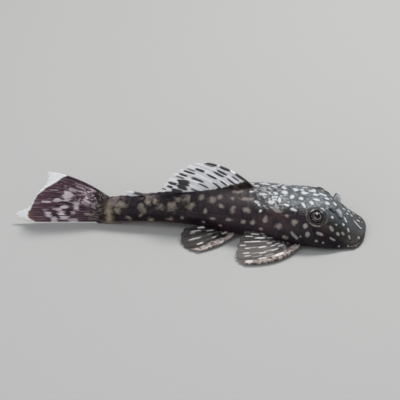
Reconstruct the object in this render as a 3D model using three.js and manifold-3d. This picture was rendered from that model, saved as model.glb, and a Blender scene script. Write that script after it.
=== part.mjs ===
// A young bristlenose catfish at rest on the floor, fins spread, its body curved a little to its right.
// Lengths are millimetres, worked out as percent of the standard length wherever anatomists do so.
// A point of the fish is written (s, y, z): s runs back from the snout tip along the body, y to the
// fish's left and z up from the floor it lies on. place() turns that into the model's x, y and z.
import * as THREE from "three";
import { mergeVertices } from "three/addons/utils/BufferGeometryUtils.js";
import Module from "manifold-3d";

const wasm = await Module();
wasm.setup();

// Driving sizes
const STANDARD_LENGTH = 50;
const PERCENT = STANDARD_LENGTH / 100;
const BEND_RADIUS = 8 * STANDARD_LENGTH;
const BEND_CENTRE = 0.5 * STANDARD_LENGTH;
const JOINT_GAP = 0.3;
const FINE = 1e-4;

// Body shape: distance back, half width, top, bottom, height of the widest point, all in percent of
// the standard length, then the roundness exponents of the upper and the lower half of the section.
const STATIONS = [
  [0, 0, 1.7, 1.7, 1.7, 2, 2.5],
  [0.7, 6.6, 2.4, 0.5, 1.1, 2, 3],
  [3.2, 12.2, 3.9, 0.2, 0.9, 1.5, 3.2],
  [8, 14.2, 8.7, 0.3, 1.4, 1.5, 3.2],
  [14, 16.4, 13.4, 0.4, 2.8, 1.6, 3.4],
  [21, 16.8, 15.1, 0.4, 4, 2.2, 3.4],
  [30, 16, 16, -0.4, 5, 2.05, 3.2],
  [40, 14, 17.2, -0.4, 6, 2, 2.8],
  [50, 11, 16.6, 0.3, 6.6, 2, 2.5],
  [62, 7.8, 15, 1.3, 7.2, 2, 2.4],
  [74, 5.6, 13.4, 1.9, 7.2, 2, 2.3],
  [86, 4.2, 12, 1.5, 6.6, 2, 2.2],
  [96, 3, 10.9, 0.5, 5.8, 2, 2],
  [100, 2.2, 11.2, 0.3, 5.6, 2, 2],
];

// Plates: rows on each side, columns of the mesh across each row, and plates in a row. A plate rises
// by PLATE_LIFT to its hind edge, and most along its middle, where a keel runs and the edge is pointed.
const PLATE_ROWS = 5;
const ROW_COLUMNS = 4;
const PLATES_IN_ROW = 24;
const PLATES_START = 30 * PERCENT;
const PLATES_END = 98.5 * PERCENT;
const PLATE_SPAN = (PLATES_END - PLATES_START) / PLATES_IN_ROW;
const PLATE_LIFT = 0.48 * PERCENT;
const PLATE_SIDE_SHARE = 0.45;
const PLATE_KEEL = 0.2 * PERCENT;
const PLATE_POINT = 0.3 * PLATE_SPAN;
const PLATE_STEP = 0.04 * PLATE_SPAN;
const BARE_FROM = 0.62;
const BARE_TO = 0.74;
const VENT_FROM = 64 * PERCENT;
const VENT_TO = 70 * PERCENT;
const HEAD_RINGS = 18;
const HEAD_CROWDING = 1.9;

// Eyes, nostrils and mouth
const EYE_AT = 18.8 * PERCENT;
const EYE_SIDE = 9.8 * PERCENT;
const EYE_HEIGHT = 10.6 * PERCENT;
const EYE_RADIUS = 2.8 * PERCENT;
const EYE_TILT = THREE.MathUtils.degToRad(52);
const EYE_FORWARD = 0.25;
const ORBIT_RIM = 0.64 * PERCENT;
const ORBIT_RISE = 0.8 * PERCENT;
const NOSTRIL_AT = 11 * PERCENT;
const NOSTRIL_SIDE = 5.2 * PERCENT;
const NOSTRIL_RADIUS = 0.9 * PERCENT;
const NOSTRIL_APART = 1.3 * PERCENT;
const NOSTRIL_HIND_SHARE = 0.9;
const FLAP_WIDTH = 2.8 * PERCENT;
const FLAP_HEIGHT = 5.4 * PERCENT;
const FLAP_THICKNESS = 0.8 * PERCENT;
const FLAP_RISE = 1.4 * PERCENT;
const FLAP_LEAN = THREE.MathUtils.degToRad(8);
const FLAP_TURN = THREE.MathUtils.degToRad(38);
const MOUTH_AT = 10.8 * PERCENT;
const MOUTH_HALF_WIDTH = 7.6 * PERCENT;
const MOUTH_HALF_LENGTH = 6.2 * PERCENT;
const MOUTH_TOP = 2.4 * PERCENT;
const MOUTH_COLUMNS = 28;
const LIP_ROUND = 0.6 * PERCENT;
const CAVITY_DEPTH = 1.4 * PERCENT;
const CAVITY_SHARE = 0.54;
const TEETH_BOW = 4.4 * PERCENT;
const TEETH_TUBE = 0.45 * PERCENT;
const TEETH_APART = 1.5 * PERCENT;
const TEETH_ARC = THREE.MathUtils.degToRad(70);
const BARBEL_RADIUS = 0.6 * PERCENT;
const BARBEL_LENGTH = 3.2 * PERCENT;
const BARBEL_AT = MOUTH_AT + 2.4 * PERCENT;
const BARBEL_SWEEP = THREE.MathUtils.degToRad(40);

// Fins
const FIN_THICKNESS = 0.5;
const FIN_EDGE = 0.7;
const FIN_RAY_SHARE = 0.25;
const FINE_RAY_RIDGE = 0.08;
const RAY_RIDGE = 0.16;
const THICK_RAY_RIDGE = 0.24;
const SPINE_RIDGE = 0.34;
const SPINE_FRONT_SHARE = 0.4;
const DORSAL_RAYS = 8;
const CAUDAL_RAYS = 16;
const ANAL_RAYS = 5;
const PECTORAL_RAYS = 7;
const PELVIC_RAYS = 6;

// Cuts that part head from torso and torso from tail
const NAPE_AT = 35 * PERCENT;
const GILL_AT = 21.5 * PERCENT;
const TAIL_CUT_AT = 72.5 * PERCENT;

const vector = (x, y, z) => new THREE.Vector3(x, y, z);

// Smooth curve through evenly spaced values
function spline(values, t) {
  const last = values.length - 1;
  const i = Math.min(Math.floor(t), last - 1);
  const f = t - i;
  const p1 = values[i];
  const p2 = values[i + 1];
  const p0 = i > 0 ? values[i - 1] : 2 * p1 - p2;
  const p3 = i + 2 <= last ? values[i + 2] : 2 * p2 - p1;
  const slope1 = (p2 - p0) / 2;
  const slope2 = (p3 - p1) / 2;
  const rise = p2 - p1;
  return p1 + f * (slope1 + f * (3 * rise - 2 * slope1 - slope2 + f * (slope1 + slope2 - 2 * rise)));
}

const stationColumns = STATIONS[0].map((_, c) => STATIONS.map((row) => row[c]));

// The cross section at distance s back from the snout
function sectionAt(s) {
  const wanted = s / PERCENT;
  let low = 0;
  let high = STATIONS.length - 1;
  for (let step = 0; step < 40; step++) {
    const middle = (low + high) / 2;
    if (spline(stationColumns[0], middle) < wanted) low = middle;
    else high = middle;
  }
  const [, halfWidth, top, bottom, widest, upper, lower] = stationColumns.map((c) => spline(c, low));
  return {
    halfWidth: Math.max(halfWidth, 0) * PERCENT,
    top: top * PERCENT,
    bottom: bottom * PERCENT,
    widest: widest * PERCENT,
    upper,
    lower,
  };
}

// A point of the section at an angle from the left side (0) over the back (90 degrees), raised by lift
function sectionPoint(section, angle, lift) {
  const c = Math.cos(angle);
  const n = Math.sin(angle);
  const power = n >= 0 ? section.upper : section.lower;
  const height = n >= 0 ? section.top - section.widest : section.widest - section.bottom;
  const y = section.halfWidth * Math.sign(c) * Math.abs(c) ** (2 / power);
  const z = section.widest + height * Math.sign(n) * Math.abs(n) ** (2 / power);
  const acrossY = (Math.sign(c) * Math.abs(c) ** (2 - 2 / power)) / Math.max(section.halfWidth, 0.05);
  const acrossZ = (Math.sign(n) * Math.abs(n) ** (2 - 2 / power)) / height;
  const size = Math.hypot(acrossY, acrossZ) || 1;
  return [y + (lift * acrossY) / size, z + (lift * acrossZ) / size];
}

// The body lies on an arc seen from above, so that head and tail both turn to its right
function place(s, y, z) {
  const a = (BEND_CENTRE - s) / BEND_RADIUS;
  return vector((BEND_RADIUS + y) * Math.sin(a), (BEND_RADIUS + y) * Math.cos(a) - BEND_RADIUS, z);
}

const headingAt = (s) => (s - BEND_CENTRE) / BEND_RADIUS;

// Height of the body's surface over the point (s, y)
function surfaceHeight(s, y) {
  const section = sectionAt(s);
  const out = Math.min(Math.abs(y) / section.halfWidth, 1);
  return section.widest + (section.top - section.widest) * (1 - out ** section.upper) ** (1 / section.upper);
}

// Solids and geometries
function solidOf(geometry, matrix) {
  const bare = geometry.index ? geometry.toNonIndexed() : geometry.clone();
  const kept = new THREE.BufferGeometry().setAttribute("position", bare.getAttribute("position"));
  if (matrix) kept.applyMatrix4(matrix);
  const merged = mergeVertices(kept, FINE);
  return new wasm.Manifold(
    new wasm.Mesh({
      numProp: 3,
      vertProperties: merged.attributes.position.array,
      triVerts: new Uint32Array(merged.index.array),
    }),
  );
}

function solidFrom(points, faces) {
  const flat = points.flatMap((p) => p.toArray());
  const geometry = new THREE.BufferGeometry();
  geometry.setAttribute("position", new THREE.Float32BufferAttribute(flat, 3));
  geometry.setIndex(faces.flat());
  return solidOf(geometry);
}

const largest = (solid) => solid.decompose().sort((a, b) => b.volume() - a.volume())[0];

function geometryOf(solid) {
  const mesh = solid.getMesh();
  const geometry = new THREE.BufferGeometry();
  geometry.setAttribute("position", new THREE.BufferAttribute(mesh.vertProperties, 3));
  geometry.setIndex(new THREE.BufferAttribute(mesh.triVerts, 1));
  geometry.computeVertexNormals();
  return geometry;
}

// Closes a stack of rings of points into one solid, with a point at each end
function loft(rings, firstTip, lastTip) {
  const count = rings[0].length;
  const points = [firstTip, ...rings.flat(), lastTip];
  const faces = [];
  const at = (ring, column) => 1 + ring * count + (column % count);
  for (let column = 0; column < count; column++) {
    faces.push([0, at(0, column), at(0, column + 1)]);
    faces.push([points.length - 1, at(rings.length - 1, column + 1), at(rings.length - 1, column)]);
    for (let ring = 0; ring + 1 < rings.length; ring++) {
      faces.push([at(ring, column), at(ring + 1, column), at(ring + 1, column + 1)]);
      faces.push([at(ring, column), at(ring + 1, column + 1), at(ring, column + 1)]);
    }
  }
  return solidFrom(points, faces);
}

// Body with its rows of overlapping bony plates. Down each side v runs from 0 at the back's middle
// line to 1 at the belly's. The trunk's belly is bare, so plates fade out there.
const COLUMNS = 2 * PLATE_ROWS * ROW_COLUMNS;

function platedBelly(s, v) {
  const bare = THREE.MathUtils.smoothstep(v, BARE_FROM, BARE_TO);
  const behindVent = THREE.MathUtils.smoothstep(s, VENT_FROM, VENT_TO);
  return 1 - bare * (1 - behindVent);
}

// One ring of the body. edge is null on the smooth head, 0 at a plate's front and 1 at its hind edge.
function bodyRing(s, edge, lift) {
  const ring = [];
  for (let column = 0; column < COLUMNS; column++) {
    const angle = Math.PI / 2 + (column / COLUMNS) * 2 * Math.PI;
    const turn = column / COLUMNS;
    const v = turn <= 0.5 ? 2 * turn : 2 - 2 * turn;
    const across = (column % ROW_COLUMNS) / ROW_COLUMNS;
    const keel = 1 - Math.abs(2 * across - 1);
    const plated = edge === null ? 0 : platedBelly(s, v);
    const hindEdge = PLATE_LIFT * (PLATE_SIDE_SHARE + (1 - PLATE_SIDE_SHARE) * keel);
    const raised = plated * (hindEdge * edge + PLATE_KEEL * keel);
    const at = s + plated * PLATE_POINT * keel;
    const [y, z] = sectionPoint(sectionAt(at), angle, lift + raised);
    ring.push(place(at, y, Math.max(z, -lift)));
  }
  return ring;
}

function bodySolid(lift) {
  const rings = [];
  for (let ring = 1; ring <= HEAD_RINGS; ring++) {
    const share = ring / (HEAD_RINGS + 1);
    rings.push(bodyRing(PLATES_START * share ** HEAD_CROWDING, null, lift));
  }
  for (let plate = 0; plate < PLATES_IN_ROW; plate++) {
    const front = PLATES_START + plate * PLATE_SPAN;
    rings.push(bodyRing(front + PLATE_STEP, 0, lift));
    rings.push(bodyRing(front + PLATE_SPAN - PLATE_STEP, 1, lift));
  }
  rings.push(bodyRing(STANDARD_LENGTH, null, lift));
  const snout = sectionAt(0);
  const end = sectionAt(STANDARD_LENGTH);
  return loft(rings, place(-lift, 0, snout.widest), place(STANDARD_LENGTH, 0, end.widest));
}

const wholeBody = bodySolid(0);
const grownBody = bodySolid(JOINT_GAP);

// A flat slab across the body, leaning back at its top, that parts one length of the body from the next
function slabAt(topAt, bottomAt, thickness) {
  const reach = 4 * STANDARD_LENGTH;
  const rise = sectionAt(topAt).top;
  const lean = Math.atan2(topAt - bottomAt, rise);
  const middle = (topAt + bottomAt) / 2;
  const turned = new THREE.Object3D();
  turned.position.copy(place(middle, 0, rise / 2));
  turned.rotation.set(0, -lean, headingAt(middle), "ZYX");
  turned.updateMatrix();
  const front = new THREE.BoxGeometry(reach, reach, reach).translate((reach + thickness) / 2, 0, 0);
  const back = new THREE.BoxGeometry(reach, reach, reach).translate(-(reach + thickness) / 2, 0, 0);
  return { front: solidOf(front, turned.matrix), back: solidOf(back, turned.matrix) };
}

const neckCut = slabAt(NAPE_AT, GILL_AT, JOINT_GAP);
const tailCut = slabAt(TAIL_CUT_AT, TAIL_CUT_AT, JOINT_GAP);

// Eyes
const SIDES = { right: -1, left: 1 };

function eyeAxis(side) {
  return vector(EYE_FORWARD, side * Math.cos(EYE_TILT), Math.sin(EYE_TILT)).normalize();
}

function turnTo(axis, s) {
  const local = new THREE.Quaternion().setFromUnitVectors(vector(0, 0, 1), axis);
  const heading = new THREE.Quaternion().setFromAxisAngle(vector(0, 0, 1), headingAt(s));
  return heading.multiply(local);
}

function matrixAt(s, y, z, axis) {
  return new THREE.Matrix4().compose(place(s, y, z), turnTo(axis, s), vector(1, 1, 1));
}

// A smooth line through points (s, y, z) in percent, f running from 0 at the first to 1 at the last
function lineThrough(points) {
  const parts = [0, 1, 2].map((axis) => points.map((p) => p[axis] * PERCENT));
  return (f) => vector(...parts.map((values) => spline(values, f * (values.length - 1))));
}

// Fins. A fin is a sheet between its root line and its margin, with its rays as ridges raised in both
// faces. f runs across the fin from its leading spine (0) to its last ray (1), t from root to margin.
// bow is how far the middle of the first and of the last ray leaves the straight line.
function finSolid({ root, margin, bow, rays, rows, ridge, spine, scallop, facing, onFloor }) {
  const rootLine = lineThrough(root);
  const marginLine = lineThrough(margin);
  const bowLine = lineThrough(bow);
  const spacing = 1 / (rays - 1);
  const width = FIN_RAY_SHARE * spacing;
  const columns = [];
  for (let ray = 0; ray < rays; ray++) {
    const f = ray * spacing;
    if (ray === 0) {
      columns.push([0, spine * SPINE_FRONT_SHARE, 1], [width, spine, 1], [2 * width, 0, 1 - scallop / 2]);
    } else if (ray === rays - 1) {
      columns.push([1 - width, 0, 1 - scallop / 2], [1 - width / 2, ridge, 1], [1, 0, 1]);
    } else {
      columns.push([f - width, 0, 1 - scallop], [f, ridge, 1], [f + width, 0, 1 - scallop]);
    }
  }
  const points = [];
  for (const side of [1, -1]) {
    for (const [f, extra, reach] of columns) {
      for (let row = 0; row <= rows; row++) {
        const t = (row / rows) * reach;
        const p = rootLine(f).lerp(marginLine(f), t);
        p.addScaledVector(bowLine(f), 4 * t * (1 - t));
        const half = (FIN_THICKNESS / 2 + extra) * (1 - (1 - FIN_EDGE) * t);
        p.addScaledVector(facing, side * half);
        if (onFloor) p.z = Math.max(p.z, side > 0 ? FIN_THICKNESS * FIN_EDGE : 0);
        points.push(place(p.x, p.y, p.z));
      }
    }
  }
  const at = (side, column, row) => (side * columns.length + column) * (rows + 1) + row;
  const faces = [];
  const quad = (a, b, c, d) => faces.push([a, b, c], [a, c, d]);
  const last = columns.length - 1;
  for (let c = 0; c < last; c++) {
    for (let r = 0; r < rows; r++) {
      quad(at(0, c, r), at(0, c + 1, r), at(0, c + 1, r + 1), at(0, c, r + 1));
      faces.push([at(1, c, r), at(1, c + 1, r + 1), at(1, c + 1, r)]);
      faces.push([at(1, c, r), at(1, c, r + 1), at(1, c + 1, r + 1)]);
    }
    quad(at(0, c, 0), at(1, c, 0), at(1, c + 1, 0), at(0, c + 1, 0));
    quad(at(0, c, rows), at(0, c + 1, rows), at(1, c + 1, rows), at(1, c, rows));
  }
  for (let r = 0; r < rows; r++) {
    quad(at(0, 0, r), at(0, 0, r + 1), at(1, 0, r + 1), at(1, 0, r));
    quad(at(0, last, r), at(1, last, r), at(1, last, r + 1), at(0, last, r + 1));
  }
  const made = solidFrom(points, faces);
  if (made.volume() > 0) return made;
  return solidFrom(points, faces.map(([a, b, c]) => [a, c, b]));
}

const finOnBody = (sizes) => largest(finSolid(sizes).subtract(grownBody));
const sided = (side, points) => points.map(([s, y, z]) => [s, side * y, z]);

const dorsal = finOnBody({
  root: [
    [40.8, 0, 14.8],
    [54, 0, 13.6],
    [66.8, 0, 12.4],
  ],
  margin: [
    [61.6, 0, 26.8],
    [67.2, 0, 25.6],
    [72, 0, 22.4],
    [75.4, 0, 18.8],
    [77.6, 0, 15.2],
  ],
  bow: [[-0.6, 0, 1.8], [0, 0, 0.2]],
  rays: DORSAL_RAYS,
  rows: 8,
  ridge: RAY_RIDGE,
  spine: SPINE_RIDGE,
  scallop: 0.05,
  facing: vector(0, 1, 0),
});

const adipose = finOnBody({
  root: [
    [80.5, 0, 10.8],
    [87, 0, 10.1],
  ],
  margin: [
    [91.6, 0, 13.6],
    [90.4, 0, 12.2],
  ],
  bow: [[0, 0, 0.9], [0, 0, 0.1]],
  rays: 2,
  rows: 4,
  ridge: 0,
  spine: SPINE_RIDGE,
  scallop: 0,
  facing: vector(0, 1, 0),
});

const caudalRays = finSolid({
  root: [
    [97.2, 0, 10.8],
    [97.2, 0, 5.8],
    [97.2, 0, 0.7],
  ],
  margin: [
    [120.4, 0, 21.6],
    [120.8, 0, 17.4],
    [124.8, 0, 12.4],
    [128, 0, 6.8],
    [133, 0, 3.6],
    [126.4, 0, 0.5],
  ],
  bow: [[0, 0, 2], [0, 0, -0.1]],
  rays: CAUDAL_RAYS,
  rows: 8,
  ridge: RAY_RIDGE,
  spine: THICK_RAY_RIDGE,
  scallop: 0.035,
  facing: vector(0, 1, 0),
});
const caudalRoot = STANDARD_LENGTH + JOINT_GAP / 2;
const caudal = largest(caudalRays.intersect(slabAt(caudalRoot, caudalRoot, JOINT_GAP).back));

const anal = finOnBody({
  root: [
    [64.8, 0.2, 1.8],
    [69.6, 0.2, 2],
  ],
  margin: [
    [75.2, 4.2, 0.6],
    [77.6, 3, 0.6],
    [78.8, 1.4, 0.6],
  ],
  bow: [[0, 0.6, -1], [0, 0.2, -0.8]],
  rays: ANAL_RAYS,
  rows: 4,
  ridge: FINE_RAY_RIDGE,
  spine: RAY_RIDGE,
  scallop: 0.05,
  facing: vector(0, 0.25, 0.97),
  onFloor: true,
});

const pectoralOn = (side) =>
  finOnBody({
    root: sided(side, [
      [22.9, 13.4, 2.6],
      [26, 13, 3.2],
      [28.8, 12.6, 4],
    ]),
    margin: sided(side, [
      [44.2, 29.8, 0.8],
      [47.2, 27, 1],
      [48, 23, 2],
      [47.2, 18.6, 3.6],
      [45.4, 14.2, 6.2],
    ]),
    bow: [[-2.2, side * 3.8, -0.4], [0, side * 0.8, 0.6]],
    rays: PECTORAL_RAYS,
    rows: 8,
    ridge: RAY_RIDGE,
    spine: SPINE_RIDGE,
    scallop: 0.05,
    facing: vector(0.05, side * 0.32, 0.945),
    onFloor: true,
  });

const pelvicOn = (side) =>
  finOnBody({
    root: sided(side, [
      [46.8, 6.4, 2.8],
      [49.2, 6, 2.6],
      [52, 5.6, 2.2],
    ]),
    margin: sided(side, [
      [62.4, 21.8, 0.8],
      [66.4, 19.8, 0.7],
      [68.8, 16.8, 0.7],
      [69.8, 12, 1.4],
      [68.8, 7.4, 2.6],
    ]),
    bow: [[-0.8, side * 1.6, -0.2], [0, side * 0.4, 1]],
    rays: PELVIC_RAYS,
    rows: 7,
    ridge: RAY_RIDGE,
    spine: THICK_RAY_RIDGE,
    scallop: 0.05,
    facing: vector(0.05, side * 0.1, 0.99),
    onFloor: true,
  });

// Mouth disc: lips as a flat oval sucker on the floor, the mouth's cavity inside with its rows of teeth
function ovalRing(halfLength, halfWidth, z) {
  const ring = [];
  for (let i = 0; i < MOUTH_COLUMNS; i++) {
    const a = (i / MOUTH_COLUMNS) * 2 * Math.PI;
    ring.push(place(MOUTH_AT - halfLength * Math.cos(a), -halfWidth * Math.sin(a), z));
  }
  return ring;
}

function ovalSolid(profile) {
  const rings = profile.map(([inset, z]) => ovalRing(MOUTH_HALF_LENGTH - inset, MOUTH_HALF_WIDTH - inset, z));
  return loft(rings, place(MOUTH_AT, 0, profile[0][1]), place(MOUTH_AT, 0, profile.at(-1)[1]));
}

const lipProfile = (grow) => [
  [LIP_ROUND - grow, -grow],
  [-grow, LIP_ROUND],
  [-grow, MOUTH_TOP - LIP_ROUND],
  [LIP_ROUND - grow, MOUTH_TOP + grow],
];

// A bent rod, its two cut ends closed by a fan of faces
function closedArc(torus, at) {
  const { radialSegments, tubularSegments } = torus.parameters;
  const position = torus.getAttribute("position");
  const points = [];
  for (let t = 0; t <= tubularSegments; t++) {
    for (let r = 0; r < radialSegments; r++) {
      points.push(vector(0, 0, 0).fromBufferAttribute(position, r * (tubularSegments + 1) + t).add(at));
    }
  }
  const faces = [];
  const turn = (t, r) => t * radialSegments + (r % radialSegments);
  for (let r = 0; r < radialSegments; r++) {
    for (let t = 0; t < tubularSegments; t++) {
      faces.push([turn(t, r), turn(t + 1, r), turn(t + 1, r + 1)]);
      faces.push([turn(t, r), turn(t + 1, r + 1), turn(t, r + 1)]);
    }
    if (r > 1) {
      faces.push([0, r - 1, r]);
      faces.push([turn(tubularSegments, 0), turn(tubularSegments, r), turn(tubularSegments, r - 1)]);
    }
  }
  const made = solidFrom(points, faces);
  if (made.volume() > 0) return made;
  return solidFrom(points, faces.map(([a, b, c]) => [a, c, b]));
}

function mouthSolid() {
  const cavity = ovalSolid([
    [MOUTH_HALF_LENGTH * CAVITY_SHARE - LIP_ROUND, -CAVITY_DEPTH],
    [MOUTH_HALF_LENGTH * CAVITY_SHARE, CAVITY_DEPTH],
  ]);
  let disc = ovalSolid(lipProfile(0)).subtract(cavity);
  for (const end of [-1, 1]) {
    const row = new THREE.TorusGeometry(TEETH_BOW, TEETH_TUBE, 6, 14, TEETH_ARC);
    row.rotateZ(end < 0 ? Math.PI - TEETH_ARC / 2 : -TEETH_ARC / 2);
    const s = MOUTH_AT - end * (TEETH_APART - TEETH_BOW);
    disc = disc.add(closedArc(row, place(s, 0, CAVITY_DEPTH)));
  }
  for (const side of [1, -1]) {
    const barbel = new THREE.ConeGeometry(BARBEL_RADIUS, BARBEL_LENGTH, 8);
    barbel.rotateZ(side > 0 ? BARBEL_SWEEP : Math.PI - BARBEL_SWEEP);
    const at = place(BARBEL_AT, side * MOUTH_HALF_WIDTH, BARBEL_RADIUS + FINE);
    disc = disc.add(solidOf(barbel, new THREE.Matrix4().setPosition(at)));
  }
  return disc;
}

// Head with eye sockets and their rims, nostril pits, the flap between each pair of nostrils
const eyes = {};
let head = wholeBody.intersect(neckCut.front);
for (const [name, side] of Object.entries(SIDES)) {
  const axis = eyeAxis(side);
  const matrix = matrixAt(EYE_AT, side * EYE_SIDE, EYE_HEIGHT, axis);
  const rim = new THREE.TorusGeometry(EYE_RADIUS + JOINT_GAP, ORBIT_RIM, 6, 20).translate(0, 0, ORBIT_RISE);
  const socket = new THREE.SphereGeometry(EYE_RADIUS + JOINT_GAP, 20, 12);
  head = head.add(solidOf(rim, matrix)).subtract(solidOf(socket, matrix));
  const globe = new THREE.SphereGeometry(EYE_RADIUS, 20, 12);
  eyes[name] = solidOf(globe, matrix);

  const nostrilZ = surfaceHeight(NOSTRIL_AT, NOSTRIL_SIDE);
  for (const [along, radius] of [
    [-NOSTRIL_APART, NOSTRIL_RADIUS],
    [NOSTRIL_APART, NOSTRIL_RADIUS * NOSTRIL_HIND_SHARE],
  ]) {
    const pit = new THREE.SphereGeometry(radius, 12, 8);
    const z = surfaceHeight(NOSTRIL_AT + along, NOSTRIL_SIDE);
    const at = new THREE.Matrix4().setPosition(place(NOSTRIL_AT + along, side * NOSTRIL_SIDE, z));
    head = head.subtract(solidOf(pit, at));
  }
  const flap = new THREE.CylinderGeometry(FLAP_WIDTH / 2, FLAP_WIDTH / 2, FLAP_THICKNESS, 12);
  flap.rotateZ(Math.PI / 2).scale(1, 1, FLAP_HEIGHT / FLAP_WIDTH).translate(0, 0, FLAP_RISE);
  flap.rotateY(-FLAP_LEAN).rotateZ(side * FLAP_TURN);
  const at = new THREE.Matrix4().setPosition(place(NOSTRIL_AT, side * NOSTRIL_SIDE, nostrilZ));
  head = head.add(solidOf(flap, at));
}
const mouthRoom = ovalSolid(lipProfile(JOINT_GAP));
head = largest(head.subtract(mouthRoom));
const mouth = largest(mouthSolid().subtract(head));

const torso = largest(wholeBody.intersect(neckCut.back).intersect(tailCut.front));
const tail = largest(wholeBody.intersect(tailCut.back));

// Colours of each node's own material
const SKIN = 0x2a2224;
const BELLY = 0x8c8272;
const CAUDAL = 0x3c2833;
const MEMBRANE = 0xb9bcc0;
const EYE = 0x8a7a5c;

const group = new THREE.Group();
group.name = "bristlenose_catfish";

function addNode(name, solid, color, roughness) {
  const mesh = new THREE.Mesh(geometryOf(solid), new THREE.MeshStandardMaterial({ color, roughness }));
  mesh.name = name;
  group.add(mesh);
}

addNode("head", head, SKIN, 0.35);
addNode("eye_right", eyes.right, EYE, 0.1);
addNode("eye_left", eyes.left, EYE, 0.1);
addNode("mouth_disc", mouth, BELLY, 0.5);
addNode("torso", torso, SKIN, 0.35);
addNode("tail", tail, SKIN, 0.35);
addNode("dorsal_fin", dorsal, MEMBRANE, 0.3);
addNode("adipose_fin", adipose, SKIN, 0.35);
addNode("caudal_fin", caudal, CAUDAL, 0.35);
addNode("anal_fin", anal, SKIN, 0.4);
addNode("pectoral_fin_right", pectoralOn(-1), SKIN, 0.35);
addNode("pectoral_fin_left", pectoralOn(1), SKIN, 0.35);
addNode("pelvic_fin_right", pelvicOn(-1), SKIN, 0.35);
addNode("pelvic_fin_left", pelvicOn(1), SKIN, 0.35);

// The middle of the whole object's footprint is the origin
const box = new THREE.Box3().setFromObject(group);
const middle = box.getCenter(vector(0, 0, 0));
for (const mesh of group.children) mesh.geometry.translate(-middle.x, -middle.y, -box.min.z);

export default group;
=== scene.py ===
"""A young bristlenose catfish on a pale floor, seen from its right and a little above.

Lengths are millimetres until a mesh is made. A point of the fish is (s, y, z): s runs back from
the snout tip along the body, y to the fish's left and z up from the floor. place() bends the
fish and sets it where the frame has it.
"""

from dataclasses import dataclass
from math import cos, pi, radians, sin

import bpy
import numpy as np
from mathutils import Matrix, Vector


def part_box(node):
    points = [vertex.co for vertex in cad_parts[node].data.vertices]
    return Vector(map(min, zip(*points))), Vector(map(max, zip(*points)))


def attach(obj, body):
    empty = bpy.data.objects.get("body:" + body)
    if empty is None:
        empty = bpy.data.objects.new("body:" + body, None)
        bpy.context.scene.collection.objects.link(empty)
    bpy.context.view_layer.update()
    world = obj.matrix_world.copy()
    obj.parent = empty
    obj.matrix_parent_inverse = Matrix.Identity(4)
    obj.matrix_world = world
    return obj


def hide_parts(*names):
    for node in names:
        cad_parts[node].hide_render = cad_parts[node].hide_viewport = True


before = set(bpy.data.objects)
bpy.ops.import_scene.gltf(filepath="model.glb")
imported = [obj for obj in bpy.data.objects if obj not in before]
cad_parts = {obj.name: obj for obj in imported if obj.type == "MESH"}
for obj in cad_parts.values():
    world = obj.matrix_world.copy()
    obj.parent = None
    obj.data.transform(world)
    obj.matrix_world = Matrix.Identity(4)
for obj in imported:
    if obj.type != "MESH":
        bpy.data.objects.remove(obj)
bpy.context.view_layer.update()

MM = 0.001
STANDARD_LENGTH = 50.0
PERCENT = STANDARD_LENGTH / 100
BEND_RADIUS = 8 * STANDARD_LENGTH
BEND_CENTRE = 0.5 * STANDARD_LENGTH

# Distance back, half width, top, bottom and height of the widest point in percent of the standard
# length, then the roundness exponents of the upper and the lower half of the section
STATIONS = np.array([
    [0, 0, 1.7, 1.7, 1.7, 2, 2.5],
    [0.7, 6.6, 2.4, 0.5, 1.1, 2, 3],
    [3.2, 12.2, 3.9, 0.2, 0.9, 1.5, 3.2],
    [8, 14.2, 8.7, 0.3, 1.4, 1.5, 3.2],
    [14, 16.4, 13.4, 0.4, 2.8, 1.6, 3.4],
    [21, 16.8, 15.1, 0.4, 4, 2.2, 3.4],
    [30, 16, 16, -0.4, 5, 2.05, 3.2],
    [40, 14, 17.2, -0.4, 6, 2, 2.8],
    [50, 11, 16.6, 0.3, 6.6, 2, 2.5],
    [62, 7.8, 15, 1.3, 7.2, 2, 2.4],
    [74, 5.6, 13.4, 1.9, 7.2, 2, 2.3],
    [86, 4.2, 12, 1.5, 6.6, 2, 2.2],
    [96, 3, 10.9, 0.5, 5.8, 2, 2],
    [100, 2.2, 11.2, 0.3, 5.6, 2, 2],
])

SIDES = {"right": -1, "left": 1}

# Eyes, nostrils, mouth. The iris ends at IRIS_EDGE, where the fleshy ring round the eye begins.
IRIS_EDGE = 1.24
ORBIT_TOP = 0.8
SOCKET_DEPTH = 1.3
# Ridges and the groove of that ring: (distance from the eye's axis, height, width)
RING_RIDGES = [(1.42, 0.1, 0.13), (1.66, -0.07, 0.08), (1.84, 0.05, 0.1)]
EYE_AT = 18.8 * PERCENT
EYE_SIDE = 9.8 * PERCENT
EYE_HEIGHT = 10.6 * PERCENT
EYE_RADIUS = 2.8 * PERCENT
EYE_TILT = radians(52)
EYE_FORWARD = 0.25
NOSTRIL_AT = 11.2 * PERCENT
NOSTRIL_SIDE = 4.8 * PERCENT
NOSTRIL_DEPTH = 0.5
NOSTRIL_FLOOR = 1.0
FRONT_NOSTRIL_AHEAD = 0.9
FRONT_NOSTRIL_RADIUS = 0.28
SLIT_BEHIND = 0.85
SLIT_STRETCH = 1.9
SLIT_RADIUS = 0.34
GILL_DEPTH = 0.22
MOUTH_AT = 10.8 * PERCENT
MOUTH_HALF_WIDTH = 7.6 * PERCENT
MOUTH_HALF_LENGTH = 6.2 * PERCENT
JAW_APART = 0.7
JAW_CURVE = 0.22
JAW_REACH = 1.5
JAW_HEIGHT = 0.4
CAVITY_HEIGHT = 0.75
RIM_GROOVE = 0.3
PAPILLA_HEIGHT = 0.14
PAPILLA_ROWS = 5.5
PAPILLAE_ROUND = 30
LIP_LINE = 0.85
LIP_GROOVE = 0.1

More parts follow.
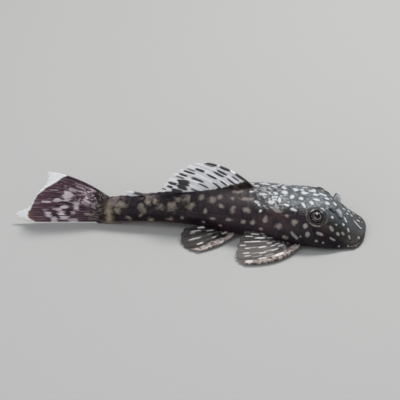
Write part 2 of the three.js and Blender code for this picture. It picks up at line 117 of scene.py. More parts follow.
# Plates in rows along the body, the seams between them and the skin's fine grain
PLATE_ROWS = 5
PLATES_START = 30 * PERCENT
PLATE_SPAN = 68.5 * PERCENT / 24
PLATE_LIFT = 0.26 * PERCENT
PLATE_POINT = 0.32 * PLATE_SPAN
ROW_STAGGER = 0.35
KEEL_HEIGHT = 0.1
ROW_SEAM_DEPTH = 0.05
SEAM_DEPTH = 0.07
GRAIN_HEIGHT = 0.07


def srgb(red, green, blue):
    """A colour as seen on a screen, 0 to 255, as linear light."""
    c = np.array([red, green, blue]) / 255
    return np.where(c <= 0.04045, c / 12.92, ((c + 0.055) / 1.055) ** 2.4)


def smooth(low, high, x):
    """0 up to low and 1 from high on, with a soft step between them."""
    t = np.clip((x - low) / (high - low), 0, 1)
    return t * t * (3 - 2 * t)


def fade(low, high, x):
    """1 up to low and 0 from high on."""
    return 1 - smooth(low, high, x)


def bump(x, centre, width):
    """1 at the centre, falling off on either side over about the width."""
    return np.exp(-(((x - centre) / width) ** 2))


def unit(vectors):
    """Vectors (..., 3) at length 1."""
    return vectors / (np.linalg.norm(vectors, axis=-1, keepdims=True) + 1e-12)


def along_and_out(vectors, axis):
    """How far vectors reach along a unit axis, and how far out from it."""
    along = vectors @ axis
    return along, np.sqrt(np.maximum((vectors**2).sum(-1) - along**2, 0))


def spline(values, t):
    """Smooth curve through evenly spaced values, one row for each step of t."""
    values = np.asarray(values, float)
    t = np.asarray(t, float)
    last = len(values) - 1
    i = np.clip(np.floor(t).astype(int), 0, last - 1)
    f = t - i
    if values.ndim > 1:
        f = f[..., None]
    ends = [2 * values[:1] - values[1:2], values, 2 * values[-1:] - values[-2:-1]]
    padded = np.concatenate(ends)
    p0, p1, p2, p3 = (padded[i + step] for step in range(4))
    slope1, slope2, rise = (p2 - p0) / 2, (p3 - p1) / 2, p2 - p1
    curve = 3 * rise - 2 * slope1 - slope2 + f * (slope1 + slope2 - 2 * rise)
    return p1 + f * (slope1 + f * curve)


STEPS = np.linspace(0, len(STATIONS) - 1, 4000)
STEP_S = spline(STATIONS[:, 0], STEPS)


def section(s):
    """Half width, top, bottom, widest height, upper and lower exponent at s."""
    found = spline(STATIONS, np.interp(np.asarray(s) / PERCENT, STEP_S, STEPS))
    half_width, top, bottom, widest = (found[..., c] * PERCENT for c in range(1, 5))
    return np.maximum(half_width, 0), top, bottom, widest, found[..., 5], found[..., 6]


def section_point(s, angle):
    """(y, z) on the body's surface at an angle from the left side over the back."""
    half_width, top, bottom, widest, upper, lower = section(s)
    c, n = np.cos(angle), np.sin(angle)
    power = np.where(n >= 0, upper, lower)
    height = np.where(n >= 0, top - widest, widest - bottom)
    y = half_width * np.sign(c) * np.abs(c) ** (2 / power)
    return y, widest + height * np.sign(n) * np.abs(n) ** (2 / power)


def surface_height(s, y):
    """Height of the body's upper surface at s and a distance y from its middle."""
    half_width, top, _, widest, upper, _ = section(s)
    out = np.minimum(np.abs(y) / half_width, 1)
    return widest + (top - widest) * (1 - out**upper) ** (1 / upper)


def bend(points):
    """Points (s, y, z) on the fish's curved line, in the model's directions."""
    s, y, z = points[..., 0], points[..., 1], points[..., 2]
    a = (BEND_CENTRE - s) / BEND_RADIUS
    radius = BEND_RADIUS + y
    return np.stack([radius * np.sin(a), radius * np.cos(a) - BEND_RADIUS, z], -1)


def box_middle(node):
    low, high = (np.array(corner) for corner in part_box(node))
    return (low + high) / 2 / MM


def eye_middle(side):
    return np.array([EYE_AT, side * EYE_SIDE, EYE_HEIGHT])


# How far the bent fish is moved to bring its eyes over the frame's own
EYES_MIDDLE = bend(np.array([eye_middle(side) for side in SIDES.values()])).mean(0)
SHIFT = (box_middle("eye_right") + box_middle("eye_left")) / 2 - EYES_MIDDLE
SHIFT[2] = 0


def place(points):
    """Points (s, y, z) in metres where the frame has them."""
    return (bend(np.asarray(points, float)) + SHIFT) * MM


# Multipliers that turn the corners of a grid of cells into random values
HASH_AXES = np.array([127.1, 311.7, 74.7])
HASH_SEED = 17.3
HASH_GAIN = 43758.5453


def noise(points, scale, seed):
    """Smooth random values from 0 to 1 over points in space."""
    p = points.reshape(-1, 3) / scale
    cell = np.floor(p)
    f = p - cell
    f = f * f * (3 - 2 * f)
    total = 0
    for corner in np.ndindex(2, 2, 2):
        value = np.sin((cell + corner) @ HASH_AXES + seed * HASH_SEED) * HASH_GAIN
        weight = 1
        for axis in range(3):
            weight = weight * (f[..., axis] if corner[axis] else 1 - f[..., axis])
        total = total + weight * (value - np.floor(value))
    return total.reshape(points.shape[:-1])


def blots(points, scale, seed, low, high):
    """1 where the noise is over high and 0 where it is under low."""
    return smooth(low, high, noise(points, scale, seed))


def blend(base, *layers):
    """A colour with layers over it, each (colour, how much it covers at each point)."""
    paint = np.broadcast_to(base, layers[0][1].shape + (3,))
    for colour, mask in layers:
        paint = paint * (1 - mask[..., None]) + colour * mask[..., None]
    return paint


# Meshes

def new_object(name, data):
    """An object in the scene."""
    made = bpy.data.objects.new(name, data)
    bpy.context.collection.objects.link(made)
    return made


def mesh_object(name, points, faces, material, slot, nodes=(), **colours):
    """A smooth shaded piece from points (s, y, z) and faces, riding on the body."""
    mesh = bpy.data.meshes.new(name)
    mesh.from_pydata(place(points).tolist(), [], faces)
    mesh.update()
    for key, values in colours.items():
        four = np.concatenate([values, np.ones((len(values), 1))], 1)
        mesh.attributes.new(key, "FLOAT_COLOR", "POINT").data.foreach_set("color", four.ravel())
    mesh.polygons.foreach_set("use_smooth", [True] * len(mesh.polygons))
    mesh.materials.append(material)
    piece = new_object(name, mesh)
    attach(piece, "root")
    if nodes:
        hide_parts(*nodes)


def grid_faces(rings, columns, wrap):
    """Four-sided faces of a grid of points that may wrap round."""
    at = np.arange(rings * columns).reshape(rings, columns)
    if wrap:
        at = np.concatenate([at, at[:, :1]], 1)
    quads = np.stack([at[:-1, :-1], at[1:, :-1], at[1:, 1:], at[:-1, 1:]], -1)
    return quads.reshape(-1, 4)


def round_piece(name, grid, ends, paint, material, slot, nodes, turned=False):
    """A piece from a grid of rings with its colours, closed by one point at either end."""
    rings, columns = grid.shape[:2]
    count, last = rings * columns, (rings - 1) * columns
    faces = grid_faces(rings, columns, True).tolist()
    for column in range(columns):
        after = (column + 1) % columns
        faces += [[count, column, after], [count + 1, last + after, last + column]]
    if turned:
        faces = [face[::-1] for face in faces]
    points = np.concatenate([grid.reshape(-1, 3), ends])
    colours = np.concatenate([paint.reshape(-1, 3), paint[0, :1], paint[-1, :1]])
    mesh_object(name, points, faces, material, slot, nodes, paint=colours)


# Skin

HEAD_RINGS = 150
BODY_RINGS = 236
END_RINGS = 12
END_LENGTH = 3.2 * PERCENT
BACK_COLUMNS = 140
BELLY_COLUMNS = 88

# Seams between the bones of the head, as lines of (s, distance from the middle) in millimetres
SUTURES = [
    [(7.2, 0), (11.4, 0)],
    [(11.4, 0), (11.9, 1.7), (12.6, 2.7)],
    [(12.6, 2.7), (14.6, 2.4), (16.4, 1.4), (17.2, 0)],
    [(10.6, 5.2), (12.6, 2.7), (13.2, 5.6)],
    [(7.2, 0), (6.6, 1.5), (7.6, 2.6), (8.2, 3.9)],
    [(3.2, 1.4), (5.2, 3.9), (7.4, 6.2)],
]


def eye_axis(side):
    """The way an eye looks."""
    return unit(np.array([-EYE_FORWARD, side * cos(EYE_TILT), sin(EYE_TILT)]))


def eye_distance(points, side):
    """Distance of points from an eye's axis, and how far along it they lie from its middle."""
    along, away = along_and_out(points - eye_middle(side), eye_axis(side))
    return away, along


def eye_turn(points, side):
    """Angle of points round an eye's axis in degrees, 0 above it and rising towards the snout."""
    away = points - eye_middle(side)
    ahead = unit(np.cross(eye_axis(side), [0, side, 0]))
    ahead = ahead * -np.sign(ahead[0])
    above = np.cross(ahead, eye_axis(side))
    above = above * np.sign(above[2])
    return np.degrees(np.arctan2(away @ ahead, away @ above))


def line_distance(points, line):
    """Distance of points (..., n) from a line of straight stretches."""
    best = np.full(points.shape[:-1], np.inf)
    for start, end in zip(line, line[1:]):
        start, end = np.array(start, float), np.array(end, float)
        run = end - start
        share = np.clip(((points - start) @ run) / (run @ run), 0, 1)
        nearest = start + share[..., None] * run
        best = np.minimum(best, np.linalg.norm(points - nearest, axis=-1))
    return best


def plate_relief(s, v):
    """Height of the overlapping plates, which run in rows and leave the belly bare."""
    row = np.minimum(np.floor(v * PLATE_ROWS), PLATE_ROWS - 1)
    across = v * PLATE_ROWS - row
    keel = 1 - np.abs(2 * across - 1)
    bare = smooth(0.62, 0.74, v) * fade(64 * PERCENT, 70 * PERCENT, s)
    plated = (1 - bare) * smooth(PLATES_START, PLATES_START + PLATE_SPAN, s)
    along = (s - PLATES_START - PLATE_POINT * keel) / PLATE_SPAN + ROW_STAGGER * (row % 2)
    f = along - np.floor(along)
    edge = f**1.4 * fade(0.9, 1.0, f)
    relief = PLATE_LIFT * edge * (0.5 + 0.5 * keel)
    relief = relief + KEEL_HEIGHT * keel**2 - ROW_SEAM_DEPTH * bump(keel, 0, 0.12)
    return relief * plated


def nostrils(points, side):
    """1 in the middle of the two nostrils of one side, the hind one a slit."""
    ahead, across = points[..., 0] - NOSTRIL_AT, points[..., 1] - side * NOSTRIL_SIDE
    front = np.hypot(ahead + FRONT_NOSTRIL_AHEAD, across) / FRONT_NOSTRIL_RADIUS
    hind = np.hypot((ahead - SLIT_BEHIND) / SLIT_STRETCH, across) / SLIT_RADIUS
    return fade(0.7, 1.2, np.minimum(front, hind)) * (points[..., 2] > NOSTRIL_FLOOR)


def gill_slit(side):
    return [(11.6, side * 8.35, 2.2), (11.1, side * 8, 0.9), (10.4, side * 6.2, 0.3)]


def skin_relief(points, v):
    """Height of the skin's forms over the plain body."""
    s, y, z = points[..., 0], points[..., 1], points[..., 2]
    relief = plate_relief(s, v) + GRAIN_HEIGHT * (noise(points, 0.45, 21) - 0.5) * (v < 0.6)
    on_head = np.stack([s, np.abs(y)], -1)
    for line in SUTURES:
        relief -= SEAM_DEPTH * bump(line_distance(on_head, line), 0, 0.13) * (v < 0.4)
    relief -= LIP_GROOVE * bump(z, LIP_LINE, 0.14) * fade(5, 9, s)
    for side in SIDES.values():
        relief -= NOSTRIL_DEPTH * nostrils(points, side)
        relief -= GILL_DEPTH * bump(line_distance(points, gill_slit(side)), 0, 0.16)
    return relief


def ring_round_eyes(points):
    """Points of the skin with a fleshy ring round each eyeball, and sunk under it."""
    points = points.copy()
    for side in SIDES.values():
        away, along = eye_distance(points, side)
        ring = ORBIT_TOP - SOCKET_DEPTH * fade(0.95, IRIS_EDGE, away)
        for distance, height, width in RING_RIDGES:
            ring = ring + height * bump(away, distance, width)
        share = fade(1.65, 2.3, away) * (along > -0.3)
        points += (share * (ring - along))[..., None] * eye_axis(side)
    return points


def mouth_distance(points):
    """How far out in the oval of the sucker mouth points are, 1 on its rim."""
    ahead, across = points[..., 0] - MOUTH_AT, points[..., 1]
    return np.hypot(ahead / MOUTH_HALF_LENGTH, across / MOUTH_HALF_WIDTH)


def jaw_at(y, end):
    """Where the upper jaw, for end -1, or the lower jaw lies along the body."""
    return MOUTH_AT + end * (JAW_APART - JAW_CURVE * y**2)


def jaws(points):
    """1 along the middles of both jaws."""
    s, y = points[..., 0], points[..., 1]
    nearest = np.minimum(np.abs(s - jaw_at(y, -1)), np.abs(s - jaw_at(y, 1)))
    return bump(nearest, 0, 0.3) * (np.abs(y) < JAW_REACH)


def papillae(points, out):
    """1 on top of the small bumps of the lips and 0 between them."""
    ahead, across = points[..., 0] - MOUTH_AT, points[..., 1]
    row = out * PAPILLA_ROWS
    turn = np.arctan2(across / MOUTH_HALF_WIDTH, ahead / MOUTH_HALF_LENGTH) / (2 * pi)
    place_in_row = turn * PAPILLAE_ROUND + 0.5 * np.floor(row)
    return np.sqrt(np.abs(np.sin(pi * row) * np.sin(pi * place_in_row)))


def mouth_height(points, out):
    """Height of the sucker mouth's underside over the floor."""
    cavity = (CAVITY_HEIGHT - JAW_HEIGHT * jaws(points)) * fade(0.42, 0.56, out)
    groove = RIM_GROOVE * bump(out, 1.07, 0.05)
    lips = PAPILLA_HEIGHT * (1 - papillae(points, out))
    return cavity + groove + lips * smooth(0.54, 0.64, out) * fade(0.94, 1, out)


def skin_grid():
    """Points of the plain body in rings from the snout back, and v, 0 on the back to 1 below."""
    share = np.arange(1, HEAD_RINGS + 1) / HEAD_RINGS
    body = np.linspace(PLATES_START, STANDARD_LENGTH, BODY_RINGS + 1)[1:]
    s = np.concatenate([PLATES_START * share**1.6, body])[:, None]
    back = np.linspace(0, pi, BACK_COLUMNS, endpoint=False)
    belly = np.linspace(pi, 2 * pi, BELLY_COLUMNS, endpoint=False)
    angle = np.concatenate([back, belly])
    y, z = section_point(s, angle)
    points = np.stack([np.broadcast_to(s, y.shape), y, z], -1)
    points = np.concatenate([points, tail_end(points[-1])])
    turn = ((angle - pi / 2) / (2 * pi)) % 1
    v = np.where(turn <= 0.5, 2 * turn, 2 - 2 * turn)
    return points, np.broadcast_to(v, points.shape[:-1])


def tail_end(ring):
    """Rings behind the body's last ring, drawn in to an edge inside the caudal fin."""
    s, y, z = ring.T
    middle = (z.max() + z.min()) / 2
    high = (z - middle) / (z.max() - middle)
    reach = END_LENGTH * (0.62 - 0.38 * high - 0.3 * high**4)
    rings = []
    for u in np.arange(1, END_RINGS + 1) / END_RINGS:
        width, height = 0.98 * (1 - u**1.2) + 0.02, 1 + 0.02 * u
        rings.append(np.stack([s + u * reach, y * width, middle + (z - middle) * height], -1))
    return np.array(rings)


def grid_normals(points):
    """Outward normals of a grid of rings that wraps round."""
    straight = points * [-1, 1, 1]
    along = np.gradient(straight, axis=0)
    around = np.roll(straight, -1, 1) - np.roll(straight, 1, 1)
    return unit(np.cross(along, around)) * [-1, 1, 1]


def skin_shape(points, v):
    """The plain body's points with the skin's relief, the eye rings and the mouth."""
    relief = skin_relief(points, v)[..., None]
    raised = ring_round_eyes(points + grid_normals(points) * relief)
    out = mouth_distance(points)
    share = fade(1.0, 1.2, out) * (v > 0.5) * (points[..., 2] < 0.9)
    height = raised[..., 2] * (1 - share) + mouth_height(points, out) * share
    raised[..., 2] = np.maximum(height, 0)
    return raised


def surface(s, v):
    """A point of the plain body, v in percent down the right side, or the left one below 0."""
    y, z = section_point(s, pi / 2 + v * pi / 100)
    return np.array([s, y, z])


def spot_mask(points, spots, edge, wobble):
    """1 inside the spots and 0 between them.

    A spot is (s, v in percent, length, width, lean). Its length runs forwards along the body,
    turned down by lean in degrees where that is given.
    """
    flat, wobble = points.reshape(-1, 3), wobble.ravel()
    mask = np.zeros(len(flat))
    for s, v, length, width, *lean in spots:
        middle = surface(s, v)
        side = 1 if v > 0 else -1
        lean = radians(sum(lean))
        ahead = unit(surface(s - 0.2, v) - middle)
        down = unit(surface(s, v + side) - middle)
        turned = cos(lean) * ahead + sin(lean) * down
        away = flat - middle
        near = np.flatnonzero((away**2).sum(1) < length**2)
        along, across = along_and_out(away[near], turned)
        reach = np.hypot(2 * along / length, 2 * across / width) + wobble[near]
        mask[near] = np.maximum(mask[near], fade(1 - edge, 1 + edge, reach))
    return mask.reshape(points.shape[:-1])


# Spots up to this v stand near the middle of the back and aren't repeated on the left
MIDDLE_SPOTS = 4.5
# No spot of the left side lies nearer to the tip of the snout
FOREMOST = 0.9


def on_both_sides(spots, seed):
    """The right side's spots, and on the left the same ones, each a little moved and changed."""
    rng = np.random.default_rng(seed)
    other = []
    for s, v, length, width, *lean in spots:
        if v > MIDDLE_SPOTS:
            s, v = s + rng.uniform(-0.7, 0.7), v + rng.uniform(-2, 2)
            length, width = length * rng.uniform(0.8, 1.2), width * rng.uniform(0.8, 1.2)
            lean = sum(lean) + rng.uniform(-25, 25)
            other.append((max(s, FOREMOST), -v, length, width, lean))
    return spots + other


# Spots of the head
HEAD_SPOTS = [
    (15.8, -5.5, 0.95, 1.2), (13.7, -6, 1.25, 0.9), (11.9, -1.5, 1.35, 1.2, 5),
    (10.5, -6, 1.4, 0.9, 8), (9.7, -2, 1.4, 0.9, 15), (8.7, -5.5, 1.1, 0.85, 20),
    (7.6, -1, 1.05, 0.85, 30), (15.6, 1.5, 1.2, 1.3, 20), (14.1, 6, 0.85, 1.35),
    (12.5, 6, 0.95, 0.95), (10.4, 8.8, 1.25, 0.75, 62), (9.55, 4.5, 1.35, 0.8, 12),
    (7.5, 7, 0.95, 0.9, 35), (6.1, 2, 0.95, 0.75, 35), (16.4, 13.5, 1.6, 0.55, 88),
    (15, 16.3, 1.2, 0.55, 14), (13.6, 19.8, 1.3, 0.55, 20), (11.8, 13, 1.4, 0.5, 66),
    (8.3, 14.8, 0.95, 0.72, 15), (6.3, 19, 0.75, 0.55, 25), (6.35, 29, 1.3, 0.75, 45),
    (4.2, 20, 0.55, 0.55), (5.5, 24, 0.45, 0.42), (3.9, 13, 1.1, 0.42, 45),
    (4.2, 29, 0.78, 0.6, 30), (5.1, 31.5, 0.8, 0.66, 30), (3.2, 22.5, 0.9, 0.46, 60),
    (2.9, 30, 0.9, 0.5, 72), (1.7, 3, 2.1, 0.38, 14), (1.2, 26, 0.8, 0.5, 90), (3, 43, 0.5, 0.42),
    (8.5, 37.5, 1.5, 0.6, -4), (11.2, 34, 0.85, 0.9, 45), (10.7, 42, 0.8, 1.05, 10),
    (6, 38.5, 1.3, 0.42, 10), (9, 46, 0.5, 0.5), (7.7, 45.5, 0.5, 0.36), (12, 45.5, 0.42, 0.36),
    (13.2, 45.5, 1.9, 0.52, 38), (4.4, -6, 0.9, 0.5, 35), (3, -9, 0.85, 0.55, 30),
    (1.6, -13, 0.9, 0.4, 40), (3.7, -0.5, 0.7, 0.45, 40), (0.9, -17, 0.8, 0.3, 40),
    (6.9, -6.5, 0.7, 0.45, 30), (16.7, -11, 1, 0.8), (17.9, -5, 0.9, 0.7), (1.5, 45, 0.45, 0.35),
    (4.7, 47, 0.4, 0.35),
]
NAPE_SPOTS = [
    (19.6, 10, 1.6, 0.7), (20.6, 19.5, 0.95, 0.6, 20), (20.1, 22.5, 0.7, 0.4, 60),
    (19.8, 28, 0.5, 0.6), (17.3, 6, 0.8, 1), (17, 10, 0.6, 0.5), (19, 0, 2.4, 0.3),
    (21.7, 8, 0.9, 0.6), (15.3, 5, 0.45, 0.4), (19, -7, 1.1, 0.4), (21, -3, 1, 0.7),
    (17.9, 17.5, 0.95, 0.85), (21, 5, 0.6, 0.35), (18.3, 6, 0.5, 0.3, 90), (16.2, 8, 0.4, 0.5),
    (20.3, -10, 0.6, 0.5),
]
# Softer marks behind the head, on the flank and the tail
FLANK_SPOTS = [
    (13.3, 32, 0.95, 0.9), (14.8, 27, 0.9, 0.5), (16.6, 24.5, 1.3, 0.6), (16.3, 39, 1.2, 0.85),
    (15, 49, 1, 0.6, 20), (18.8, 35, 0.75, 1.4), (21.2, 41, 0.75, 0.9), (22.5, 17.5, 2.6, 0.6),
    (22.4, 29.5, 1.3, 1), (23, 43, 0.8, 0.8), (25.1, 8, 0.95, 0.9), (25.2, 17.5, 0.8, 0.6),
    (25.1, 31, 0.95, 1.1), (25.8, 44, 1.3, 0.65), (27.6, 16, 0.9, 0.8), (27.3, 28.5, 1.1, 0.7, 10),
    (29.1, 20.5, 1.3, 1, 20), (28.9, 46.5, 0.9, 0.5), (30.3, 37, 0.6, 0.9),
    (31.2, 16, 0.9, 1.2, 30), (24.1, 8, 1.3, 0.85), (19.6, 46, 0.7, 0.5), (30.6, 55, 0.6, 0.5),
    (27.3, 55, 0.7, 0.5),
]
TAIL_SPOTS = [
    (34.1, 18, 1.4, 1.4), (33, 31, 1.2, 0.9, -30), (36.6, 34, 1.4, 1.6), (35.6, 20, 1, 0.7),
    (39, 34, 1.1, 0.9, 20), (39.9, 20, 0.8, 1), (41.3, 24, 0.9, 1), (42.3, 38, 1.1, 1.4, -20),
    (34.7, 53, 0.6, 0.5), (37.2, 60, 1, 0.6), (40.7, 66, 1, 0.8), (42.7, 53, 0.6, 0.7),
    (46.4, 27, 1.5, 1), (47.1, 42, 0.9, 0.9), (44.9, 62, 0.9, 0.6),
]

BODY_DARK = srgb(22, 11, 21)
BODY_BROWN = srgb(46, 29, 35)
SHOULDER_MAROON = srgb(62, 40, 42)
# Bluish grey of the head's top, lighter than the body: a painted sheen of light from above
HEAD_TOP_SHEEN = srgb(92, 100, 105)
SADDLE_BROWN = srgb(78, 71, 70)
SNOUT_GREY = srgb(66, 62, 61)
LIP_BROWN = srgb(88, 70, 58)
BELLY_PALE = srgb(112, 98, 88)
LIP_PINK = srgb(158, 134, 122)
TOOTH_AMBER = srgb(196, 150, 84)
SPOT_WHITE = srgb(218, 220, 223)
SPOT_SHADED = srgb(140, 137, 131)
CHEEK_OLIVE = srgb(38, 40, 32)
# Pale grey of the nape's top and the snout's middle: a painted sheen
NAPE_SHEEN_GREY = srgb(100, 104, 106)
SPOT_OLIVE = srgb(150, 140, 132)
BLOTCH_TAN = srgb(142, 132, 118)
BAND_TAN = srgb(156, 140, 119)
STALK_MAUVE = srgb(136, 121, 119)
# Near black, painted as shade in pits, slits, grooves and the mouth, and at the tip of the nasal
# flap
PIT_DARK = srgb(14, 11, 12)
RING_BROWN = srgb(38, 32, 33)
RING_PALE = srgb(128, 122, 116)
# Bright places on the ring round the eye, the white ones painted wet highlights and the pale ones
# arcs of the ring: (turn and half width in degrees, colour, distance)
RING_HIGHLIGHTS_AND_ARCS = [
    (-48, 17, SPOT_WHITE, 1.42), (26, 10, SPOT_WHITE, 1.42), (180, 32, RING_PALE, 1.9),
    (-95, 16, RING_PALE, 2.0), (95, 20, RING_PALE, 2.05),
]


def body_paint(points, v):
    """Colour of the skin below its spots, broken up by noise, with painted sheen, glints and shade.
    """
    s, z = points[..., 0], points[..., 2]
    tone = (0.7 + 0.6 * noise(points, 1.5, 3)) * (0.75 + 0.5 * noise(points, 0.45, 8))
    top_of_head = fade(16, 22, s) * fade(0.1, 0.3 - 0.09 * smooth(8, 11, s), v)
    crown = top_of_head * smooth(4, 9, s) * fade(14, 16.5, s)
    cheek = fade(8, 13, s) * smooth(0.15, 0.3, v)
    throat = smooth(0.36, 0.48, v) * fade(12, 18, s) * smooth(4, 7, s)
    shoulder = bump(s, 17.5, 4.2) * bump(v, 0.34, 0.13)
    lower = 0.06 * smooth(14.5, 17.5, s)
    nape = bump(s, 17.6, 3.0) * fade(0.14 + lower, 0.22 + lower, v)
    snout = fade(1.8, 5, s)
    specks_and_glints = blots(points, 0.26, 7, 0.5, 0.66)
    return blend(
        # The head's top is painted towards HEAD_TOP_SHEEN, a painted sheen
        (BODY_DARK + (HEAD_TOP_SHEEN - BODY_DARK) * top_of_head[..., None]) * tone[..., None],
        (CHEEK_OLIVE, cheek * blots(points, 2.6, 13, 0.35, 0.65) * 0.85),
        (BODY_BROWN, smooth(16, 24, s) * blots(points, 2.2, 6, 0.5, 0.75) * 0.6),
        (SADDLE_BROWN, bump(s, 25, 6) * fade(0.16, 0.34, v) * 0.8),
        # Painted shade: near black low on the sides of the head
        (BODY_DARK * 0.5, throat * 0.7),
        (SHOULDER_MAROON, shoulder * blots(points, 1.3, 17, 0.2, 0.6) * 0.85),
        (SHOULDER_MAROON, bump(s, 7.6, 0.8) * bump(v, 0.31, 0.055) * 0.6),
        (BELLY_PALE, smooth(0.7, 0.8, v) * (0.75 + 0.25 * tone)),
        # Painted sheen on the nape's top and along the middle of the snout
        (NAPE_SHEEN_GREY, nape * 0.5),
        (NAPE_SHEEN_GREY, bump(s, 6.6, 2.2) * bump(v, 0.06, 0.08) * 0.55),
        (SNOUT_GREY, snout * 0.75),
        (LIP_BROWN, snout * smooth(0.3, 0.42, v) * blots(points, 0.6, 14, 0.35, 0.7) * 0.8),
        # Painted shade in the groove of the lip line
        (PIT_DARK, snout * bump(z, LIP_LINE, 0.09) * 0.6),
        # Painted wet glints: small white specks over the nape
        (SPOT_WHITE, nape * specks_and_glints * blots(points, 1.1, 11, 0.15, 0.5) * 0.75),
        # Small white specks on the crown, fewer than on the nape
        (SPOT_WHITE, crown * specks_and_glints * blots(points, 1.2, 22, 0.25, 0.6) * 0.3),
        (BODY_DARK, nape * blots(points, 0.4, 18, 0.55, 0.75) * 0.85),
    )


def spot_layers(points, v, wobble):
    """The spots and blotches. Those of the head have dark rims and take painted shade low down."""
    def mask(spots, seed, edge, rough):
        return spot_mask(points, on_both_sides(spots, seed), edge, wobble * rough)

    rims = [(*spot[:2], spot[2] + 0.5, spot[3] + 0.5, *spot[4:]) for spot in HEAD_SPOTS]
    head = mask(HEAD_SPOTS, 3, 0.22, 0.8) * 0.95
    shaded = smooth(0.16, 0.34, v)
    return [
        (SPOT_WHITE, mask(NAPE_SPOTS, 6, 0.35, 1.4) * 0.85),
        (BODY_DARK, mask(rims, 3, 0.25, 0.4) * 0.45),
        (BLOTCH_TAN, mask(TAIL_SPOTS, 5, 0.95, 2.8) * 0.8),
        (SPOT_OLIVE, mask(FLANK_SPOTS, 4, 0.6, 1.6) * 0.8),
        (SPOT_WHITE, head * (1 - shaded)),
        (SPOT_SHADED, head * shaded),
    ]


def stalk_layers(points, v, wobble):
    """Pale saddles and a band on the tail stalk, and the dark root of the caudal fin."""
    s, z = points[..., 0], points[..., 2]
    saddles = bump(s, 47.6, 1.9) * fade(0.2, 0.42, v) + bump(s, 41.3, 1.3) * fade(0.12, 0.26, v)
    band = bump(s + wobble, 48.75, 0.6) * smooth(0.1, 0.3, v)
    end = smooth(49.5, 50.2, s + 0.08 * (z - 3))
    return [
        (STALK_MAUVE, saddles * blots(points, 0.42, 23, 0.3, 0.62) * 0.7),
        (BAND_TAN, band * (0.65 + 0.25 * smooth(0.3, 0.55, v))),
        (FIN_BROWN, end * 0.95),
        (FIN_TAN, end * fin_specks(points) * 0.5),
    ]


def side_layers(points, side):
    """The nostrils and the gill slit in painted shade, and the ring round the eye of one side with
    its painted highlights.
    """
    away, along = eye_distance(points, side)
    turn = eye_turn(points, side)
    facing = along > 0
    broken = facing * blots(points, 0.5, 20, 0.3, 0.65)
    layers = [
        # Painted shade in the nostrils and the gill slit
        (PIT_DARK, nostrils(points, side)),
        (PIT_DARK, 0.8 * bump(line_distance(points, gill_slit(side)), 0, 0.2)),
        (RING_BROWN, fade(1.9, 2.3, away) * facing * 0.9),
        (RING_PALE, bump(away, 1.5, 0.06) * broken * 0.55),
        (RING_PALE, bump(away, 1.98, 0.07) * broken * 0.4),
    ]
    # Painted wet highlights (white) and pale arcs on the ring round the eye
    for at, width, colour, where in RING_HIGHLIGHTS_AND_ARCS:
        turned = (turn - at + 180) % 360 - 180
        layers.append((colour, bump(away, where, 0.11) * bump(turned, 0, width) * facing * 0.9))
    # Painted shade in the crease round the eyeball
    return layers + [(PIT_DARK, bump(away, IRIS_EDGE, 0.07) * facing)]


def mouth_layers(points, v):
    """The lips with their papillae, and the mouth's cavity in painted shade with the jaws in it."""
    z = points[..., 2]
    out = mouth_distance(points)
    lips = fade(0.95, 1.1, out) * (v > 0.5) * (z < 1)
    inside = fade(0.4, 0.56, out) * (v > 0.5) * (z < 1.2)
    return [
        (LIP_PINK, lips),
        (BELLY_PALE * 0.5, lips * (1 - papillae(points, out)) * 0.7),
        # Painted shade in the mouth's cavity
        (PIT_DARK, inside * 0.75),
        (LIP_PINK, inside * jaws(points) * 0.8),
    ]


def build_skin(material):
    points, v = skin_grid()
    wobble = 0.55 * (noise(points, 0.55, 1) - 0.5) + 0.35 * (noise(points, 0.25, 2) - 0.5)
    layers = spot_layers(points, v, wobble) + stalk_layers(points, v, wobble)
    for side in SIDES.values():
        layers += side_layers(points, side)
    paint = blend(body_paint(points, v), *layers, *mouth_layers(points, v))
    shape = skin_shape(points, v)
    ends = [(0, 0, section(0)[3]), shape[-1].mean(0)]
    nodes = ["head", "torso", "tail", "mouth_disc"]
    round_piece("skin", shape, ends, paint, material, "skin", nodes)


# Fins

FIN_COLUMNS_PER_RAY = 16
MEMBRANE = 0.16
# A sheet on the floor keeps at least this thickness
FLOOR_SHEET = 0.05


